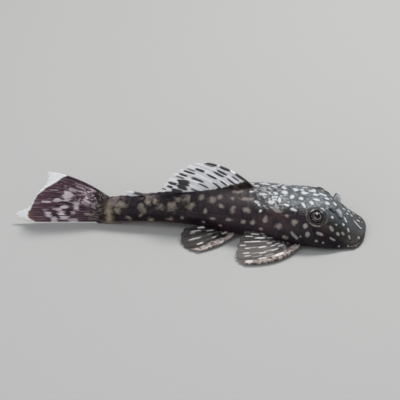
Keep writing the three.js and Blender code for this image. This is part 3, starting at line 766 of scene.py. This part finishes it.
@dataclass
class Fin:
    """A fin's sheet from its root line to its margin, given for the left side in percent.

    It bows out by bow and faces the way of facing. Its front edge is thicker by spine and its
    root by stout, and its margin is drawn in between the rays by scallop.
    """
    name: str
    rays: int
    root: list
    margin: list
    bow: list
    spine: float
    facing: tuple = (0, 1, 0)
    scallop: float = 0.022
    stout: float = 0
    floor: bool = False
    side: int = 1

    def grid(self):
        """f across the fin from its front edge, and t from root to margin."""
        columns = (self.rays - 1) * FIN_COLUMNS_PER_RAY + 1
        f = np.linspace(0, 1, columns)[:, None]
        t = np.linspace(0, 1, 96)[None, :] ** 0.9
        return np.broadcast_arrays(f, t)

    def ridges(self, f, t):
        """How much a ray stands out. Rays fork at a third and at two thirds of their length."""
        at = f * (self.rays - 1)
        number = np.round(at)
        away = at - number
        forked = number > 0
        fork = 0.16 * smooth(0.3, 0.75, t) * forked
        finer = 0.07 * smooth(0.62, 0.95, t) * forked
        width = 0.16 - 0.08 * t
        prongs = [one * fork + two * finer for one in (-1, 1) for two in (-1, 1)]
        return np.max([bump(away, prong, width) for prong in prongs], axis=0)

    def reach(self, f, t):
        """How far t comes from root to margin, which is drawn in between the rays."""
        at = f * (self.rays - 1)
        between = 1 - np.abs(2 * (at - np.floor(at)) - 1)
        return t * (1 - self.scallop * between)

    def sheet(self, f, t):
        """Middle of the fin at f and t."""
        t = self.reach(f, t)[..., None]
        lines = self.root, self.margin, self.bow
        root, margin, bow = (spline(line, f * (len(line) - 1)) for line in lines)
        return (root + (margin - root) * t + bow * 4 * t * (1 - t)) * PERCENT * [1, self.side, 1]

    def build(self, material, slot, paint):
        f, t = self.grid()
        middle = self.sheet(f, t)
        ripple = 0.12 * np.sin(f * 9 + 1.3) * smooth(0.4, 1, t)
        facing = np.array(self.facing) * [1, self.side, 1]
        middle = middle + facing * ripple[..., None]
        joints = 1 - 0.12 * bump((t * 26) % 1, 0.5, 0.16)
        ray = self.ridges(f, t) * joints * (0.12 - 0.07 * t)
        spine = self.spine * bump(f * (self.rays - 1), 0.05, 0.2) * (1 - 0.7 * t)
        stout = self.stout * fade(0, 0.3, t) * np.sqrt(np.maximum(4 * f * (1 - f), 0))
        half = (MEMBRANE / 2 + ray + spine) * (1 - 0.45 * smooth(0.75, 1, t)) + stout
        points, faces = closed_sheet(middle, facing * half[..., None], self.floor)
        colour, clear = paint(self, f, t, middle)
        see = np.repeat(clear[..., None], 3, -1)
        looks = {"paint": on_both_faces(colour), "clear": on_both_faces(see)}
        mesh_object(self.name + "_skin", points, faces, material, slot, [self.name], **looks)


def on_both_faces(values):
    """A sheet's grid of colours as the colours of a closed sheet's points."""
    return np.tile(values.reshape(-1, 3), (2, 1))


def closed_sheet(middle, offset, floor=False):
    """Points and faces of a closed sheet: a grid of points, offset to both its faces."""
    sides = [middle + offset, middle - offset]
    if floor:
        for face, lowest in zip(sides, (FLOOR_SHEET, 0)):
            face[..., 2] = np.maximum(face[..., 2], lowest)
    columns, rows = middle.shape[:2]
    count = columns * rows
    quads = grid_faces(columns, rows, False)
    at = np.arange(count).reshape(columns, rows)
    rim = np.concatenate([at[:, 0], at[-1, 1:], at[-2::-1, -1], at[0, -2:0:-1]])
    after = np.roll(rim, -1)
    band = np.stack([rim, rim + count, after + count, after], -1)
    faces = np.concatenate([quads, quads[:, ::-1] + count, band])
    points = np.concatenate([side.reshape(-1, 3) for side in sides])
    if turned_inwards(points, faces):
        faces = faces[:, ::-1]
    return points, faces.tolist()


def turned_inwards(points, faces):
    """Whether a closed mesh's faces point inwards, by the sign of its volume."""
    placed = place(points) / MM
    a, b, c, d = (placed[faces[:, i]] for i in range(4))
    volumes = np.cross(b - a, c - a) * (a + b + c) + np.cross(c - a, d - a) * (a + c + d)
    return volumes.sum() < 0


FINS = [
    Fin(
        "dorsal_fin", 8,
        root=[(40.8, 0, 14.8), (54, 0, 13.6), (66.8, 0, 12.4)],
        margin=[(61.6, 0, 26.8), (67.2, 0, 25.6), (72, 0, 22.4), (75.4, 0, 18.8), (77.6, 0, 15.2)],
        bow=[(-0.9, 0, 2.2), (0, 0, 0.2)], spine=0.22, scallop=0.045,
    ),
    Fin(
        "adipose_fin", 2,
        root=[(80.5, 0, 10.8), (87, 0, 10.1)], margin=[(91.6, 0, 13.6), (90.4, 0, 12.2)],
        bow=[(0, 0, 0.9), (0, 0, 0.1)], spine=0.25, scallop=0.02,
    ),
    Fin(
        "caudal_fin", 16,
        root=[(97.2, 0, 10.8), (97.2, 0, 5.8), (97.2, 0, 0.7)],
        margin=[
            (120.4, 0, 21.6), (120.8, 0, 17.4), (124.8, 0, 12.4), (128, 0, 6.8), (133, 0, 3.6),
            (126.4, 0, 0.5),
        ],
        bow=[(0, 0, 2), (0, 0, -0.1)], spine=0.15, scallop=0.015, stout=0.42,
    ),
    Fin(
        "anal_fin", 5,
        root=[(64.8, 0.2, 1.8), (69.6, 0.2, 2)],
        margin=[(75.2, 4.2, 0.6), (77.6, 3, 0.6), (78.8, 1.4, 0.6)],
        bow=[(0, 0.6, -0.4), (0, 0.2, -0.3)], facing=(0, 0.25, 0.97), spine=0.1, floor=True,
    ),
]
for name, side in SIDES.items():
    FINS.append(Fin(
        "pectoral_fin_" + name, 7,
        root=[(22.9, 13.4, 2.6), (26, 13, 3.2), (28.8, 12.6, 4)],
        margin=[
            (44.2, 29.8, 0.8), (47.2, 27, 1), (48, 23, 2), (47.2, 18.6, 3.6), (45.4, 14.2, 6.2),
        ],
        bow=[(-2.2, 3.8, -0.4), (0, 0.8, 0.6)],
        facing=(0.05, 0.32, 0.945), spine=0.3, floor=True, side=side,
    ))
    FINS.append(Fin(
        "pelvic_fin_" + name, 6,
        root=[(46.8, 6.4, 2.8), (49.2, 6, 2.6), (52, 5.6, 2.2)],
        margin=[
            (62.4, 21.8, 0.8), (66.4, 19.8, 0.7), (68.8, 16.8, 0.7), (69.8, 12, 1.4),
            (68.8, 7.4, 2.6),
        ],
        bow=[(-0.8, 1.6, -0.2), (0, 0.4, 1)],
        facing=(0.05, 0.1, 0.99), spine=0.16, floor=True, side=side,
    ))

FIN_CLEAR = srgb(236, 236, 244)
FIN_INK = srgb(24, 16, 22)
FIN_BROWN = srgb(40, 30, 33)
ADIPOSE_BROWN = srgb(64, 44, 46)
FIN_MAROON = srgb(86, 55, 72)
FIN_MAUVE = srgb(214, 204, 210)
FIN_PINK = srgb(220, 204, 208)
FIN_RUST = srgb(130, 78, 48)
FIN_WHITE = srgb(255, 255, 255)
FIN_SMOKE = srgb(38, 34, 36)
FIN_DUSK = srgb(84, 76, 74)
FIN_DASH = srgb(226, 222, 220)
SPINE_TAN = srgb(190, 178, 172)
SPINE_DARK = srgb(92, 78, 74)
SHEATH_BROWN = srgb(36, 28, 26)
SHEATH_OLIVE = srgb(76, 68, 58)
MEMBRANE_GREY = srgb(150, 143, 138)
FIN_TAN = srgb(142, 128, 120)


def fin_specks(points):
    """Small pale specks at the root of the caudal fin."""
    return blots(points, 0.24, 12, 0.5, 0.66)


def streaks(f, t, across, along, seed):
    """Noise over a fin, so many steps across it and along its rays."""
    return noise(np.stack([f * across, t * along, 0 * f], -1), 1, seed)


def grown(marks, longer, wider):
    """Marks with their lengths and widths changed by a factor."""
    return [(*mark[:2], mark[2] * longer, mark[3] * wider, *mark[4:]) for mark in marks]


def fin_marks(fin, f, t, marks, rough, wobble):
    """How strong the marks are at each place, 0 between them."""
    points = fin.sheet(f, t)
    mask = np.zeros(f.shape)
    for at_f, at_t, length, width, *strength in marks:
        start = at_t / 100
        ends = fin.sheet(np.full(2, at_f / 100), np.array([start, min(start + 0.04, 1)]))
        along, across = along_and_out(points - ends[0], unit(ends[1] - ends[0]))
        reach = (np.abs(2 * along / length) ** 3 + np.abs(2 * across / width) ** 3) ** (1 / 3)
        inside = fade(0.75, 1.2, reach + (rough - 0.5) * wobble)
        mask = np.maximum(mask, inside * (strength[0] if strength else 1))
    return mask


# Marks of the fins: f and t in percent, length along the ray and width in millimetres, and how
# strong if not 1
DORSAL_DASHES = [
    (0, 88.5, 1.9, 0.62), (0, 65.5, 2.2, 0.66), (0, 39.5, 2.2, 0.75), (8, 87, 1.8, 0.4, 0.75),
    (30, 78, 1.7, 0.5), (36, 88, 1.5, 0.34, 0.8), (42, 83, 1.9, 0.38), (52, 88, 1.5, 0.38),
    (60, 86, 1.5, 0.38, 0.9), (80, 87, 1.6, 0.45), (90, 85, 1, 0.38), (100, 92, 0.8, 0.4),
    (70, 74, 1.2, 0.3), (14, 56, 1.75, 0.34), (22, 53, 1.9, 0.34), (33, 52, 1.8, 0.38),
    (52, 58, 2.2, 0.44), (70, 67, 2, 1), (83, 57, 1.8, 0.75), (96, 52, 2, 0.6), (10, 36, 1.6, 0.3),
    (20, 30, 1.75, 0.32), (32, 29, 1.6, 0.32), (43, 26, 1.8, 0.3), (58, 36, 1.9, 0.33),
    (78, 30, 1.2, 0.28),
]
# How far up the dorsal fin its dark fleshy base reaches, as (f, t)
SHEATH_EDGE = [
    (0, 0.27), (0.1, 0.25), (0.2, 0.215), (0.3, 0.2), (0.45, 0.175), (0.6, 0.155), (1, 0.14),
]


def paint_dorsal(fin, f, t, points):
    """Clear skin between white rays, with dark dashes that stand in rows."""
    ray = smooth(0.2, 0.6, fin.ridges(f, t))
    streak = streaks(f, t, 40, 6, 5)
    ink = fin_marks(fin, f, t, grown(DORSAL_DASHES, 1.15, 1.2), streak, 0.5)
    sheath = fade(0, 0.03, t - np.interp(f, *zip(*SHEATH_EDGE)) + (streak - 0.5) * 0.05)
    colour = blend(
        FIN_CLEAR,
        (FIN_WHITE, ray),
        (FIN_INK, ink * 0.96),
        (SHEATH_BROWN, sheath),
        (SHEATH_OLIVE, sheath * blots(points, 0.5, 9, 0.4, 0.7) * 0.7),
    )
    return colour, 0.75 + 0.24 * np.max([ray, ink, sheath], axis=0)


# Pale and dark marks of the caudal fin
CAUDAL_MARKS = [
    (37, 60, 1.6, 2.1), (26, 57, 1.6, 0.7, 0.6), (46.5, 69, 1.4, 1), (58.5, 58, 1.5, 0.75),
    (65, 61, 1.3, 0.8), (76, 53, 1.3, 0.8), (88, 52, 1.3, 0.8), (96, 70, 0.9, 1.1),
    (80, 66, 1.1, 0.8), (55, 43, 1.1, 2.3, 0.8), (51, 83, 1.6, 0.3), (31, 84, 1.6, 0.25, 0.6),
    (95, 46, 1.5, 0.55, 0.8), (16, 47, 2, 0.3, 0.6), (24, 44, 1.8, 0.3, 0.6),
    (10, 52, 1.6, 0.22, 0.6), (8, 29, 1.4, 0.5), (72, 41, 0.9, 1, 0.6), (68, 75, 1, 0.4, 0.4),
    (48, 22, 0.8, 0.9, 0.4), (75, 24, 1.2, 0.5, 0.5), (42, 35, 0.9, 1.2, 0.45),
    (30, 33, 0.9, 0.9, 0.35),
]
CAUDAL_DARKS = [
    (50, 54, 1.7, 1.1), (57, 67, 1, 0.5), (70, 46, 1.6, 1.4), (80, 58, 1.2, 1, 0.8),
    (40, 46, 1.3, 1.4, 0.7), (47, 28, 1.2, 1.1, 0.7), (56, 35, 1.1, 1.1, 0.7), (60, 14, 1.4, 1.8),
    (20, 22, 1, 0.8, 0.8), (12, 14, 1.4, 1), (44, 76, 1.8, 0.9, 0.5), (90, 62, 0.9, 0.8, 0.7),
]
# Where the caudal fin's white trailing edge begins, from its upper corner to its lower one
WHITE_FROM = [
    (0, 0.7), (0.1, 0.8), (0.2, 0.88), (0.3, 0.955), (0.4, 0.98), (0.55, 0.985), (0.6, 0.972),
    (0.7, 0.905), (0.8, 0.865), (0.9, 0.93), (1, 0.99),
]


def paint_caudal(fin, f, t, points):
    """Dark maroon with pale blotches in rows, white corners and a thin white edge."""
    ray = smooth(0.15, 0.7, fin.ridges(f, t))
    streak, fine = streaks(f, t, 34, 6, 5), streaks(f, t, 60, 14, 15)
    pale = fin_marks(fin, f, t, CAUDAL_MARKS, 0.5 * (streak + fine), 2.2)
    pale = pale * (0.68 + 0.7 * fine) * (0.8 + 0.2 * ray)
    dark = fin_marks(fin, f, t, CAUDAL_DARKS, streak, 0.7)
    specks = fin_specks(points)
    upper_root = bump(t, 0.33, 0.11) * fade(0.4, 0.56, f) * smooth(0.02, 0.08, f)
    reach = fin.reach(f, t)
    past = reach - np.interp(f, *zip(*WHITE_FROM))
    white = smooth(-0.01, 0.01, past + (streak - 0.5) * 0.015)
    colour = blend(
        FIN_MAROON,
        (FIN_INK, (1 - ray) * (0.2 + 0.5 * fine)),
        (FIN_MAUVE, ray * smooth(0.4, 0.85, fine) * 0.22),
        (FIN_BROWN, fade(0.12, 0.36, t)),
        (FIN_INK, fade(0.015, 0.045, f) * 0.75),
        (FIN_INK, dark * 0.85),
        (FIN_MAUVE, np.minimum(pale, 1)),
        (FIN_TAN, specks * fade(0.2, 0.3, t) * 0.65),
        (FIN_PINK, specks * upper_root * 0.95),
        (FIN_RUST, bump(f, 0.84, 0.09) * bump(past, -0.03, 0.03) * 0.7),
        (FIN_WHITE, np.maximum(white, smooth(0.985, 0.995, reach))),
    )
    return colour, np.full(f.shape, 0.99)


PECTORAL_DASHES = [
    (94, 74, 1.4, 0.3, 0.7), (88, 85, 1.1, 0.28), (84, 64, 1.7, 0.33), (74.5, 85, 1.1, 0.27),
    (75, 72, 1.5, 0.3), (74, 56, 1.6, 0.24, 0.5), (66, 91, 1, 0.28), (58, 85, 0.9, 0.3),
    (59, 76, 1.5, 0.24, 0.6), (57, 60, 1.2, 0.36), (45, 86, 1.1, 0.28), (36, 85, 1, 0.28),
    (42, 72, 1.9, 0.22, 0.6), (38, 62, 1.1, 0.34), (41, 53, 1.6, 0.24, 0.7), (38, 42, 1.2, 0.36),
    (54, 41, 0.7, 0.3), (46, 29, 1, 0.36, 0.8), (66, 46, 0.8, 0.3, 0.8), (84, 43, 0.9, 0.3, 0.5),
    (70, 38, 0.6, 0.25, 0.5), (57, 33, 0.9, 0.35, 0.6), (12, 90, 1.1, 1), (20, 67, 1.4, 0.4),
    (15, 43, 1.6, 0.7), (5, 28, 0.8, 0.5, 0.7), (3, 15, 0.7, 0.4, 0.7), (96, 58, 0.7, 0.24, 0.5),
    (30, 72, 1.5, 0.22, 0.5), (26, 55, 1.5, 0.24, 0.6), (90, 55, 0.6, 0.2, 0.5),
]
PELVIC_DASHES = [
    (94, 62, 1.1, 0.42), (82, 70, 1.4, 0.32), (77, 77, 0.8, 0.22, 0.8), (57, 76, 1.8, 0.36),
    (33, 75, 1.1, 0.42), (4, 77, 1.2, 0.5, 0.9), (76, 43, 1.2, 0.24, 0.7), (60, 47, 1, 0.28, 0.6),
    (38, 46, 0.9, 0.3, 0.8), (2, 50, 0.9, 0.45, 0.9), (40, 25, 0.9, 0.5, 0.8),
    (3, 30, 1.1, 0.45, 0.7), (93, 34, 0.6, 0.3, 0.5), (20, 60, 1, 0.22, 0.5),
]


def paint_paired(fin, f, t, points):
    """Smoky clear skin, long pale dashes along the rays, and a broad mottled ray in front."""
    if "pectoral" in fin.name:
        marks, spine_width, grey = PECTORAL_DASHES, 1, 0.75
    else:
        marks, spine_width, grey = PELVIC_DASHES, 0.6, 0.2
    ray = smooth(0.2, 0.7, fin.ridges(f, t))
    mottle = noise(points, 0.4, 9)
    dash = fin_marks(fin, f, t, grown(marks, 1.3, 0.85), mottle, 0.4)
    spine = fade(spine_width, spine_width + 0.5, f * (fin.rays - 1))
    root = fade(0.15, 0.5, t)
    colour = blend(
        FIN_SMOKE,
        (MEMBRANE_GREY, bump(f, 0.45, 0.25) * smooth(0.3, 0.55, t) * grey),
        (FIN_DUSK, ray * 0.35),
        (BODY_DARK, root * 0.8),
        (SPINE_TAN, root * smooth(0.5, 0.7, mottle) * fade(0.55, 0.75, f) * 0.45),
        (SPINE_DARK, spine),
        (SPINE_TAN, spine * smooth(0.3, 0.65, mottle) * (0.55 + 0.45 * smooth(0.1, 0.4, t))),
        (FIN_DASH, dash),
    )
    return colour, 0.55 + 0.43 * np.max([ray * 0.6, root, dash, spine], axis=0)


def paint_anal(fin, f, t, points):
    """Dark rays in smoky skin."""
    ray = smooth(0.2, 0.7, fin.ridges(f, t))
    return blend(FIN_SMOKE, (BODY_DARK, ray * 0.6)), 0.9 + 0.08 * ray


def paint_adipose(fin, f, t, points):
    """A dark spine, and pale skin at its tip and behind it."""
    dark = np.maximum(fade(0.2, 0.5, f), fade(0.3, 0.45, t)) * fade(0.62, 0.75, t)
    return blend(FIN_CLEAR, (ADIPOSE_BROWN, dark * 0.95)), 0.75 + 0.24 * dark


# The slot and the painter of each fin, and of the paired ones by default
DRESS = {
    "dorsal_fin": ("clear_fin", paint_dorsal),
    "adipose_fin": ("clear_fin", paint_adipose),
    "caudal_fin": ("dark_fin", paint_caudal),
    "anal_fin": ("dark_fin", paint_anal),
}
PAIRED_DRESS = ("dark_fin", paint_paired)


# Materials

def new_material(name, looks):
    """A material with its shader's inputs set, its node tree and the shader."""
    material = bpy.data.materials.new(name)
    material.use_nodes = True
    tree = material.node_tree
    shader = tree.nodes["Principled BSDF"]
    for key, value in looks.items():
        shader.inputs[key].default_value = value
    return material, tree, shader


def add(tree, kind, **values):
    """A node with its inputs and settings set."""
    node = tree.nodes.new(kind)
    for key, value in values.items():
        if key in node.inputs:
            node.inputs[key].default_value = value
        else:
            setattr(node, key, value)
    return node


def mottled_material(name, scale, detail, contrast, looks):
    """A material of the painted colour with fine mottling, and the nodes to add to it."""
    material, tree, shader = new_material(name, looks)
    link = tree.links.new
    paint = add(tree, "ShaderNodeAttribute", attribute_name="paint")
    space = add(tree, "ShaderNodeTexCoord")
    mottle = add(tree, "ShaderNodeTexNoise", Scale=scale, Detail=detail)
    link(space.outputs["Object"], mottle.inputs["Vector"])
    shade = add(tree, "ShaderNodeMapRange", **{"To Min": 1 - contrast, "To Max": 1 + contrast})
    link(mottle.outputs["Fac"], shade.inputs["Value"])
    mixed = add(tree, "ShaderNodeVectorMath", operation="SCALE")
    link(paint.outputs["Color"], mixed.inputs[0])
    link(shade.outputs["Result"], mixed.inputs["Scale"])
    link(mixed.outputs["Vector"], shader.inputs["Base Color"])
    return material, tree, shader, space, mottle


def skin_material():
    """Wet skin with tiny grains over the plates and a glossy coat."""
    material, tree, shader, space, _ = mottled_material("wet_skin", 2600, 3, 0.28, {
        "Roughness": 0.5, "Specular IOR Level": 0.12, "Coat Weight": 0.25, "Coat Roughness": 0.26,
    })
    link = tree.links.new
    grains = add(tree, "ShaderNodeTexVoronoi", Scale=4200)
    link(space.outputs["Object"], grains.inputs["Vector"])
    relief = add(tree, "ShaderNodeBump", Strength=0.6, Distance=0.08 * MM)
    link(grains.outputs["Distance"], relief.inputs["Height"])
    link(relief.outputs["Normal"], shader.inputs["Normal"])
    link(relief.outputs["Normal"], shader.inputs["Coat Normal"])
    return material


def fin_material():
    """Thin wet fin skin, let through by as much as the sheet's own clear value says."""
    material, tree, shader, _, mottle = mottled_material("fin_skin", 3000, 2, 0.2, {
        "Roughness": 0.45, "Specular IOR Level": 0.3, "Subsurface Weight": 0.6,
        "Subsurface Scale": 0.6 * MM, "Subsurface Radius": (1, 0.95, 0.9),
    })
    link = tree.links.new
    clear = add(tree, "ShaderNodeAttribute", attribute_name="clear")
    link(clear.outputs["Fac"], shader.inputs["Alpha"])
    relief = add(tree, "ShaderNodeBump", Strength=0.2, Distance=0.04 * MM)
    link(mottle.outputs["Fac"], relief.inputs["Height"])
    link(relief.outputs["Normal"], shader.inputs["Normal"])
    return material


def eye_material():
    """The painted colour under a clear wet cornea."""
    material, tree, shader = new_material("eye", {
        "Roughness": 0.25, "Specular IOR Level": 0.04, "Coat Weight": 1, "Coat Roughness": 0.03,
        "Coat IOR": 1.34,
    })
    paint = add(tree, "ShaderNodeAttribute", attribute_name="paint")
    tree.links.new(paint.outputs["Color"], shader.inputs["Base Color"])
    return material


# Eyes

EYE_RINGS = 72
EYE_COLUMNS = 72
# The eyeball stands just inside the solids' own
EYE_FIT = 0.985
PUPIL = 0.56
PUPIL_BLACK = srgb(6, 5, 6)
IRIS_BRONZE = srgb(44, 37, 36)
IRIS_PALE = srgb(186, 180, 176)
# How far out from the eye's axis its back half counts, well past every ring of the iris
BEHIND = 9


def build_eye(name, side, material):
    """Eyeball: a dark pupil with a pale lobe above and a painted white highlight at its tip, a
    bright ring, a mottled iris, a dark edge.
    """
    polar = np.linspace(0, pi, EYE_RINGS + 2)[1:-1, None]
    turn = np.linspace(0, 2 * pi, EYE_COLUMNS, endpoint=False)
    axis = eye_axis(side)
    first = unit(np.cross(axis, [0, 0, 1]))
    second = np.cross(axis, first)
    amounts = [np.cos(polar) + 0 * turn, np.sin(polar) * np.cos(turn), np.sin(polar) * np.sin(turn)]
    direction = np.stack(amounts, -1) @ np.array([axis, first, second])
    middle = eye_middle(side)
    radius = EYE_RADIUS * EYE_FIT
    points = middle + direction * radius
    out = np.where(polar < pi / 2, EYE_RADIUS * np.sin(polar), BEHIND) + 0 * turn
    mottle = noise(points, 0.22, 4)
    right, up = (points - middle) @ first, (middle - points) @ second
    lobe = bump(right, 0, 0.19) * smooth(0.04, 0.26, up)
    iris = smooth(PUPIL - 0.03, PUPIL + 0.03, out + 0.36 * lobe)
    colour = blend(
        PUPIL_BLACK,
        (IRIS_BRONZE, iris * (0.6 + 0.5 * mottle)),
        (IRIS_PALE, bump(out, PUPIL + 0.1, 0.065) * smooth(0.15, 0.5, mottle) * 0.85),
        (IRIS_PALE, bump(out, 1.02, 0.05) * smooth(0.35, 0.6, 1 - mottle) * 0.35),
        # A painted white highlight at the tip of the lobe
        (SPOT_WHITE, bump(right, 0, 0.13) * bump(up, 0.3, 0.13) * 0.75),
        (PUPIL_BLACK, smooth(1.08, 1.16, out)),
    )
    ends = [middle + axis * radius, middle - axis * radius]
    round_piece("eyeball_" + name, points, ends, colour, material, "eye", ["eye_" + name], True)


# Nasal flaps

FLAP_WIDTH = 1.55
FLAP_HEIGHT = 1.6
FLAP_THICKNESS = 0.12
FLAP_AHEAD = 0.15
FLAP_STEP = 0.3
FLAP_TURN = radians(62)
FLAP_LEAN = 0.3
FLAP_SUNK = 0.2
FLAP_GREY = srgb(222, 222, 230)
FLAP_GREEN = srgb(176, 180, 178)


def build_flap(name, side, material):
    """The flap between two nostrils: a thin leaf, hollow towards the front, leaning back."""
    u = np.linspace(-1, 1, 25)[:, None]
    t = np.linspace(0, 1, 29)
    across = np.array([-sin(FLAP_TURN), side * cos(FLAP_TURN), 0])
    forward = np.array([-cos(FLAP_TURN), -side * sin(FLAP_TURN), 0])
    root = np.array([NOSTRIL_AT + side * FLAP_STEP, side * NOSTRIL_SIDE, 0])
    beside = root[0] + FLAP_WIDTH / 2 * u * across[0]
    foot = surface_height(beside, NOSTRIL_SIDE) - FLAP_SUNK
    foot = foot + (surface_height(root[0], NOSTRIL_SIDE) - foot) * 0.5 * t
    right = FLAP_WIDTH / 2 * u * (0.8 + 0.4 * t - 0.45 * t**5)
    ahead = FLAP_AHEAD + 0.3 * u**2 - FLAP_LEAN * np.sin(2.2 * t)
    up = foot + FLAP_HEIGHT * t * (1 - 0.3 * np.abs(u) ** 3)
    middle = root + np.stack([right, ahead, up], -1) @ np.array([across, forward, [0, 0, 1]])
    edge = np.maximum(np.abs(u), t)
    half = FLAP_THICKNESS / 2 * (1 - 0.5 * smooth(0.8, 1, edge))
    points, faces = closed_sheet(middle, half[..., None] * forward)
    colour = blend(
        FLAP_GREEN,
        (FLAP_GREY, bump(edge, 0.72, 0.16) * smooth(0.1, 0.3, t)),
        # The flap's foot takes the head top's colour, with its painted sheen
        (HEAD_TOP_SHEEN, fade(0, 0.2, t)),
        (PIT_DARK, smooth(0.9, 0.97, t - 0.5 * u) * 0.7),
    )
    paint = on_both_faces(colour)
    mesh_object("nasal_flap_" + name, points, faces, material, "skin", paint=paint)


# Teeth and barbels

TEETH_A_SIDE = 9
TOOTH_STEP = 0.15
TOOTH_RADIUS = 0.05
TOOTH_TOP = 0.5
TOOTH_TIP = 0.14
TOOTH_BEND = 0.3
BARBEL_AT = MOUTH_AT + 1.6 * PERCENT
BARBEL_LENGTH = 1.5
BARBEL_RADIUS = 0.3
BARBEL_HEIGHT = 0.4
TUBE_SIDES = 10


def tubes(paths, radius):
    """Closed tubes along paths of points, thinner towards their far ends, as one mesh."""
    turn = np.linspace(0, 2 * pi, TUBE_SIDES, endpoint=False)[:, None]
    points, faces = [], []
    for path in paths:
        run = unit(np.gradient(path, axis=0))
        first = unit(np.cross(run, [0.3, 0.2, 1]))
        second = np.cross(run, first)
        radii = radius * (1 - 0.55 * np.linspace(0, 1, len(path)) ** 2)
        around = np.cos(turn) * first[:, None] + np.sin(turn) * second[:, None]
        start = sum(len(each) for each in points)
        points.append((path[:, None] + radii[:, None, None] * around).reshape(-1, 3))
        ring = np.arange(TUBE_SIDES)
        last = start + (len(path) - 1) * TUBE_SIDES
        faces += (grid_faces(len(path), TUBE_SIDES, True) + start).tolist()
        faces += [(start + ring).tolist(), (last + ring[::-1]).tolist()]
    return np.concatenate(points), faces


def build_teeth(material):
    """Rows of fine teeth on both jaws, bent towards the middle of the mouth."""
    share = np.linspace(0, 1, 6)
    z = TOOTH_TOP - (TOOTH_TOP - TOOTH_TIP) * share
    paths = []
    for end in (-1, 1):
        for side in SIDES.values():
            for number in range(TEETH_A_SIDE):
                y = side * (0.12 + TOOTH_STEP * number)
                s = jaw_at(y, end) - end * TOOTH_BEND * share**2
                paths.append(np.stack([s, y + 0 * share, z], -1))
    points, faces = tubes(paths, TOOTH_RADIUS)
    paint = np.tile(TOOTH_AMBER, (len(points), 1))
    mesh_object("teeth", points, faces, material, "eye", paint=paint)


def build_barbel(name, side, material):
    """A short soft barbel at a corner of the mouth, lying back along the lip."""
    share = np.linspace(0, 1, 14)
    y = side * (MOUTH_HALF_WIDTH * 0.9 + 0.55 * share)
    path = np.stack([BARBEL_AT + BARBEL_LENGTH * share, y, BARBEL_HEIGHT - 0.1 * share], -1)
    points, faces = tubes([path], BARBEL_RADIUS)
    paint = blend(LIP_PINK, (BELLY_PALE, noise(points, 0.3, 19)))
    mesh_object("barbel_" + name, points, faces, material, "skin", paint=paint)


skin_look = skin_material()
fin_look = fin_material()
eye_look = eye_material()
build_skin(skin_look)
for name, side in SIDES.items():
    build_eye(name, side, eye_look)
for name, side in SIDES.items():
    build_flap(name, side, skin_look)
    build_barbel(name, side, skin_look)
build_teeth(eye_look)
for fin in FINS:
    fin.build(fin_look, *DRESS.get(fin.name, PAIRED_DRESS))


# Floor, light and camera

FLOOR_REACH = 1.5
FLOOR_DROP = 0.02 * MM


def build_floor():
    mesh = bpy.data.meshes.new("floor")
    corners = [(-1, -1), (1, -1), (1, 1), (-1, 1)]
    points = [(FLOOR_REACH * x, FLOOR_REACH * y, 0) for x, y in corners]
    mesh.from_pydata(points, [], [(0, 1, 2, 3)])
    looks = {"Base Color": (0.5, 0.5, 0.49, 1), "Roughness": 0.9}
    mesh.materials.append(new_material("floor", looks)[0])
    floor = new_object("floor", mesh)
    floor.location.z = -FLOOR_DROP


def area_light(name, stand, size, power, colour):
    """A square light that stands at a point and shines on the fish."""
    data = bpy.data.lights.new(name, "AREA")
    data.size = size
    data.energy = power
    data.color = colour
    light = new_object(name, data)
    light.location = stand
    light.rotation_euler = (-Vector(stand)).to_track_quat("-Z", "Y").to_euler()


CAMERA_AZIMUTH = radians(4)
CAMERA_ELEVATION = radians(28)
CAMERA_DISTANCE = 350.0
CAMERA_ROLL = radians(0.5)
PIXELS_PER_MM = 5.28
IMAGE_SIZE = 400
TARGET_PIXEL = (234.5, 212.3)
TARGET_HEIGHT = 3.0
SENSOR_WIDTH = 36


def build_camera():
    """Aimed so that the fish's middle falls on the photograph's own pixel for it."""
    a, e = CAMERA_AZIMUTH, CAMERA_ELEVATION
    right = np.array([cos(a), sin(a), 0])
    up = np.array([-sin(a) * sin(e), cos(a) * sin(e), cos(e)])
    back = np.array([sin(a) * cos(e), -cos(a) * cos(e), sin(e)])
    target = bend(np.array([BEND_CENTRE, 0, TARGET_HEIGHT])) + SHIFT
    off_right, off_down = (np.array(TARGET_PIXEL) - IMAGE_SIZE / 2) / PIXELS_PER_MM
    eye = target + back * CAMERA_DISTANCE - right * off_right + up * off_down
    data = bpy.data.cameras.new("camera")
    data.sensor_width = SENSOR_WIDTH
    data.lens = PIXELS_PER_MM * CAMERA_DISTANCE / IMAGE_SIZE * SENSOR_WIDTH
    data.clip_start = 0.01
    camera = new_object("camera", data)
    turned = Matrix([right, up, back]).transposed().to_4x4() @ Matrix.Rotation(CAMERA_ROLL, 4, "Z")
    camera.matrix_world = Matrix.Translation(Vector(eye * MM)) @ turned
    bpy.context.scene.camera = camera


build_floor()
build_camera()
area_light("key", (0.12, 0.18, 0.38), 0.14, 1.3, (1, 0.985, 0.96))
area_light("fill", (-0.14, -0.36, 0.28), 0.6, 1.35, (0.98, 0.98, 1))
world = bpy.data.worlds.new("world")
world.use_nodes = True
background = world.node_tree.nodes["Background"]
background.inputs["Color"].default_value = (0.8, 0.85, 0.9, 1)
background.inputs["Strength"].default_value = 0.32
bpy.context.scene.world = world
bpy.context.scene.view_settings.view_transform = "Standard"
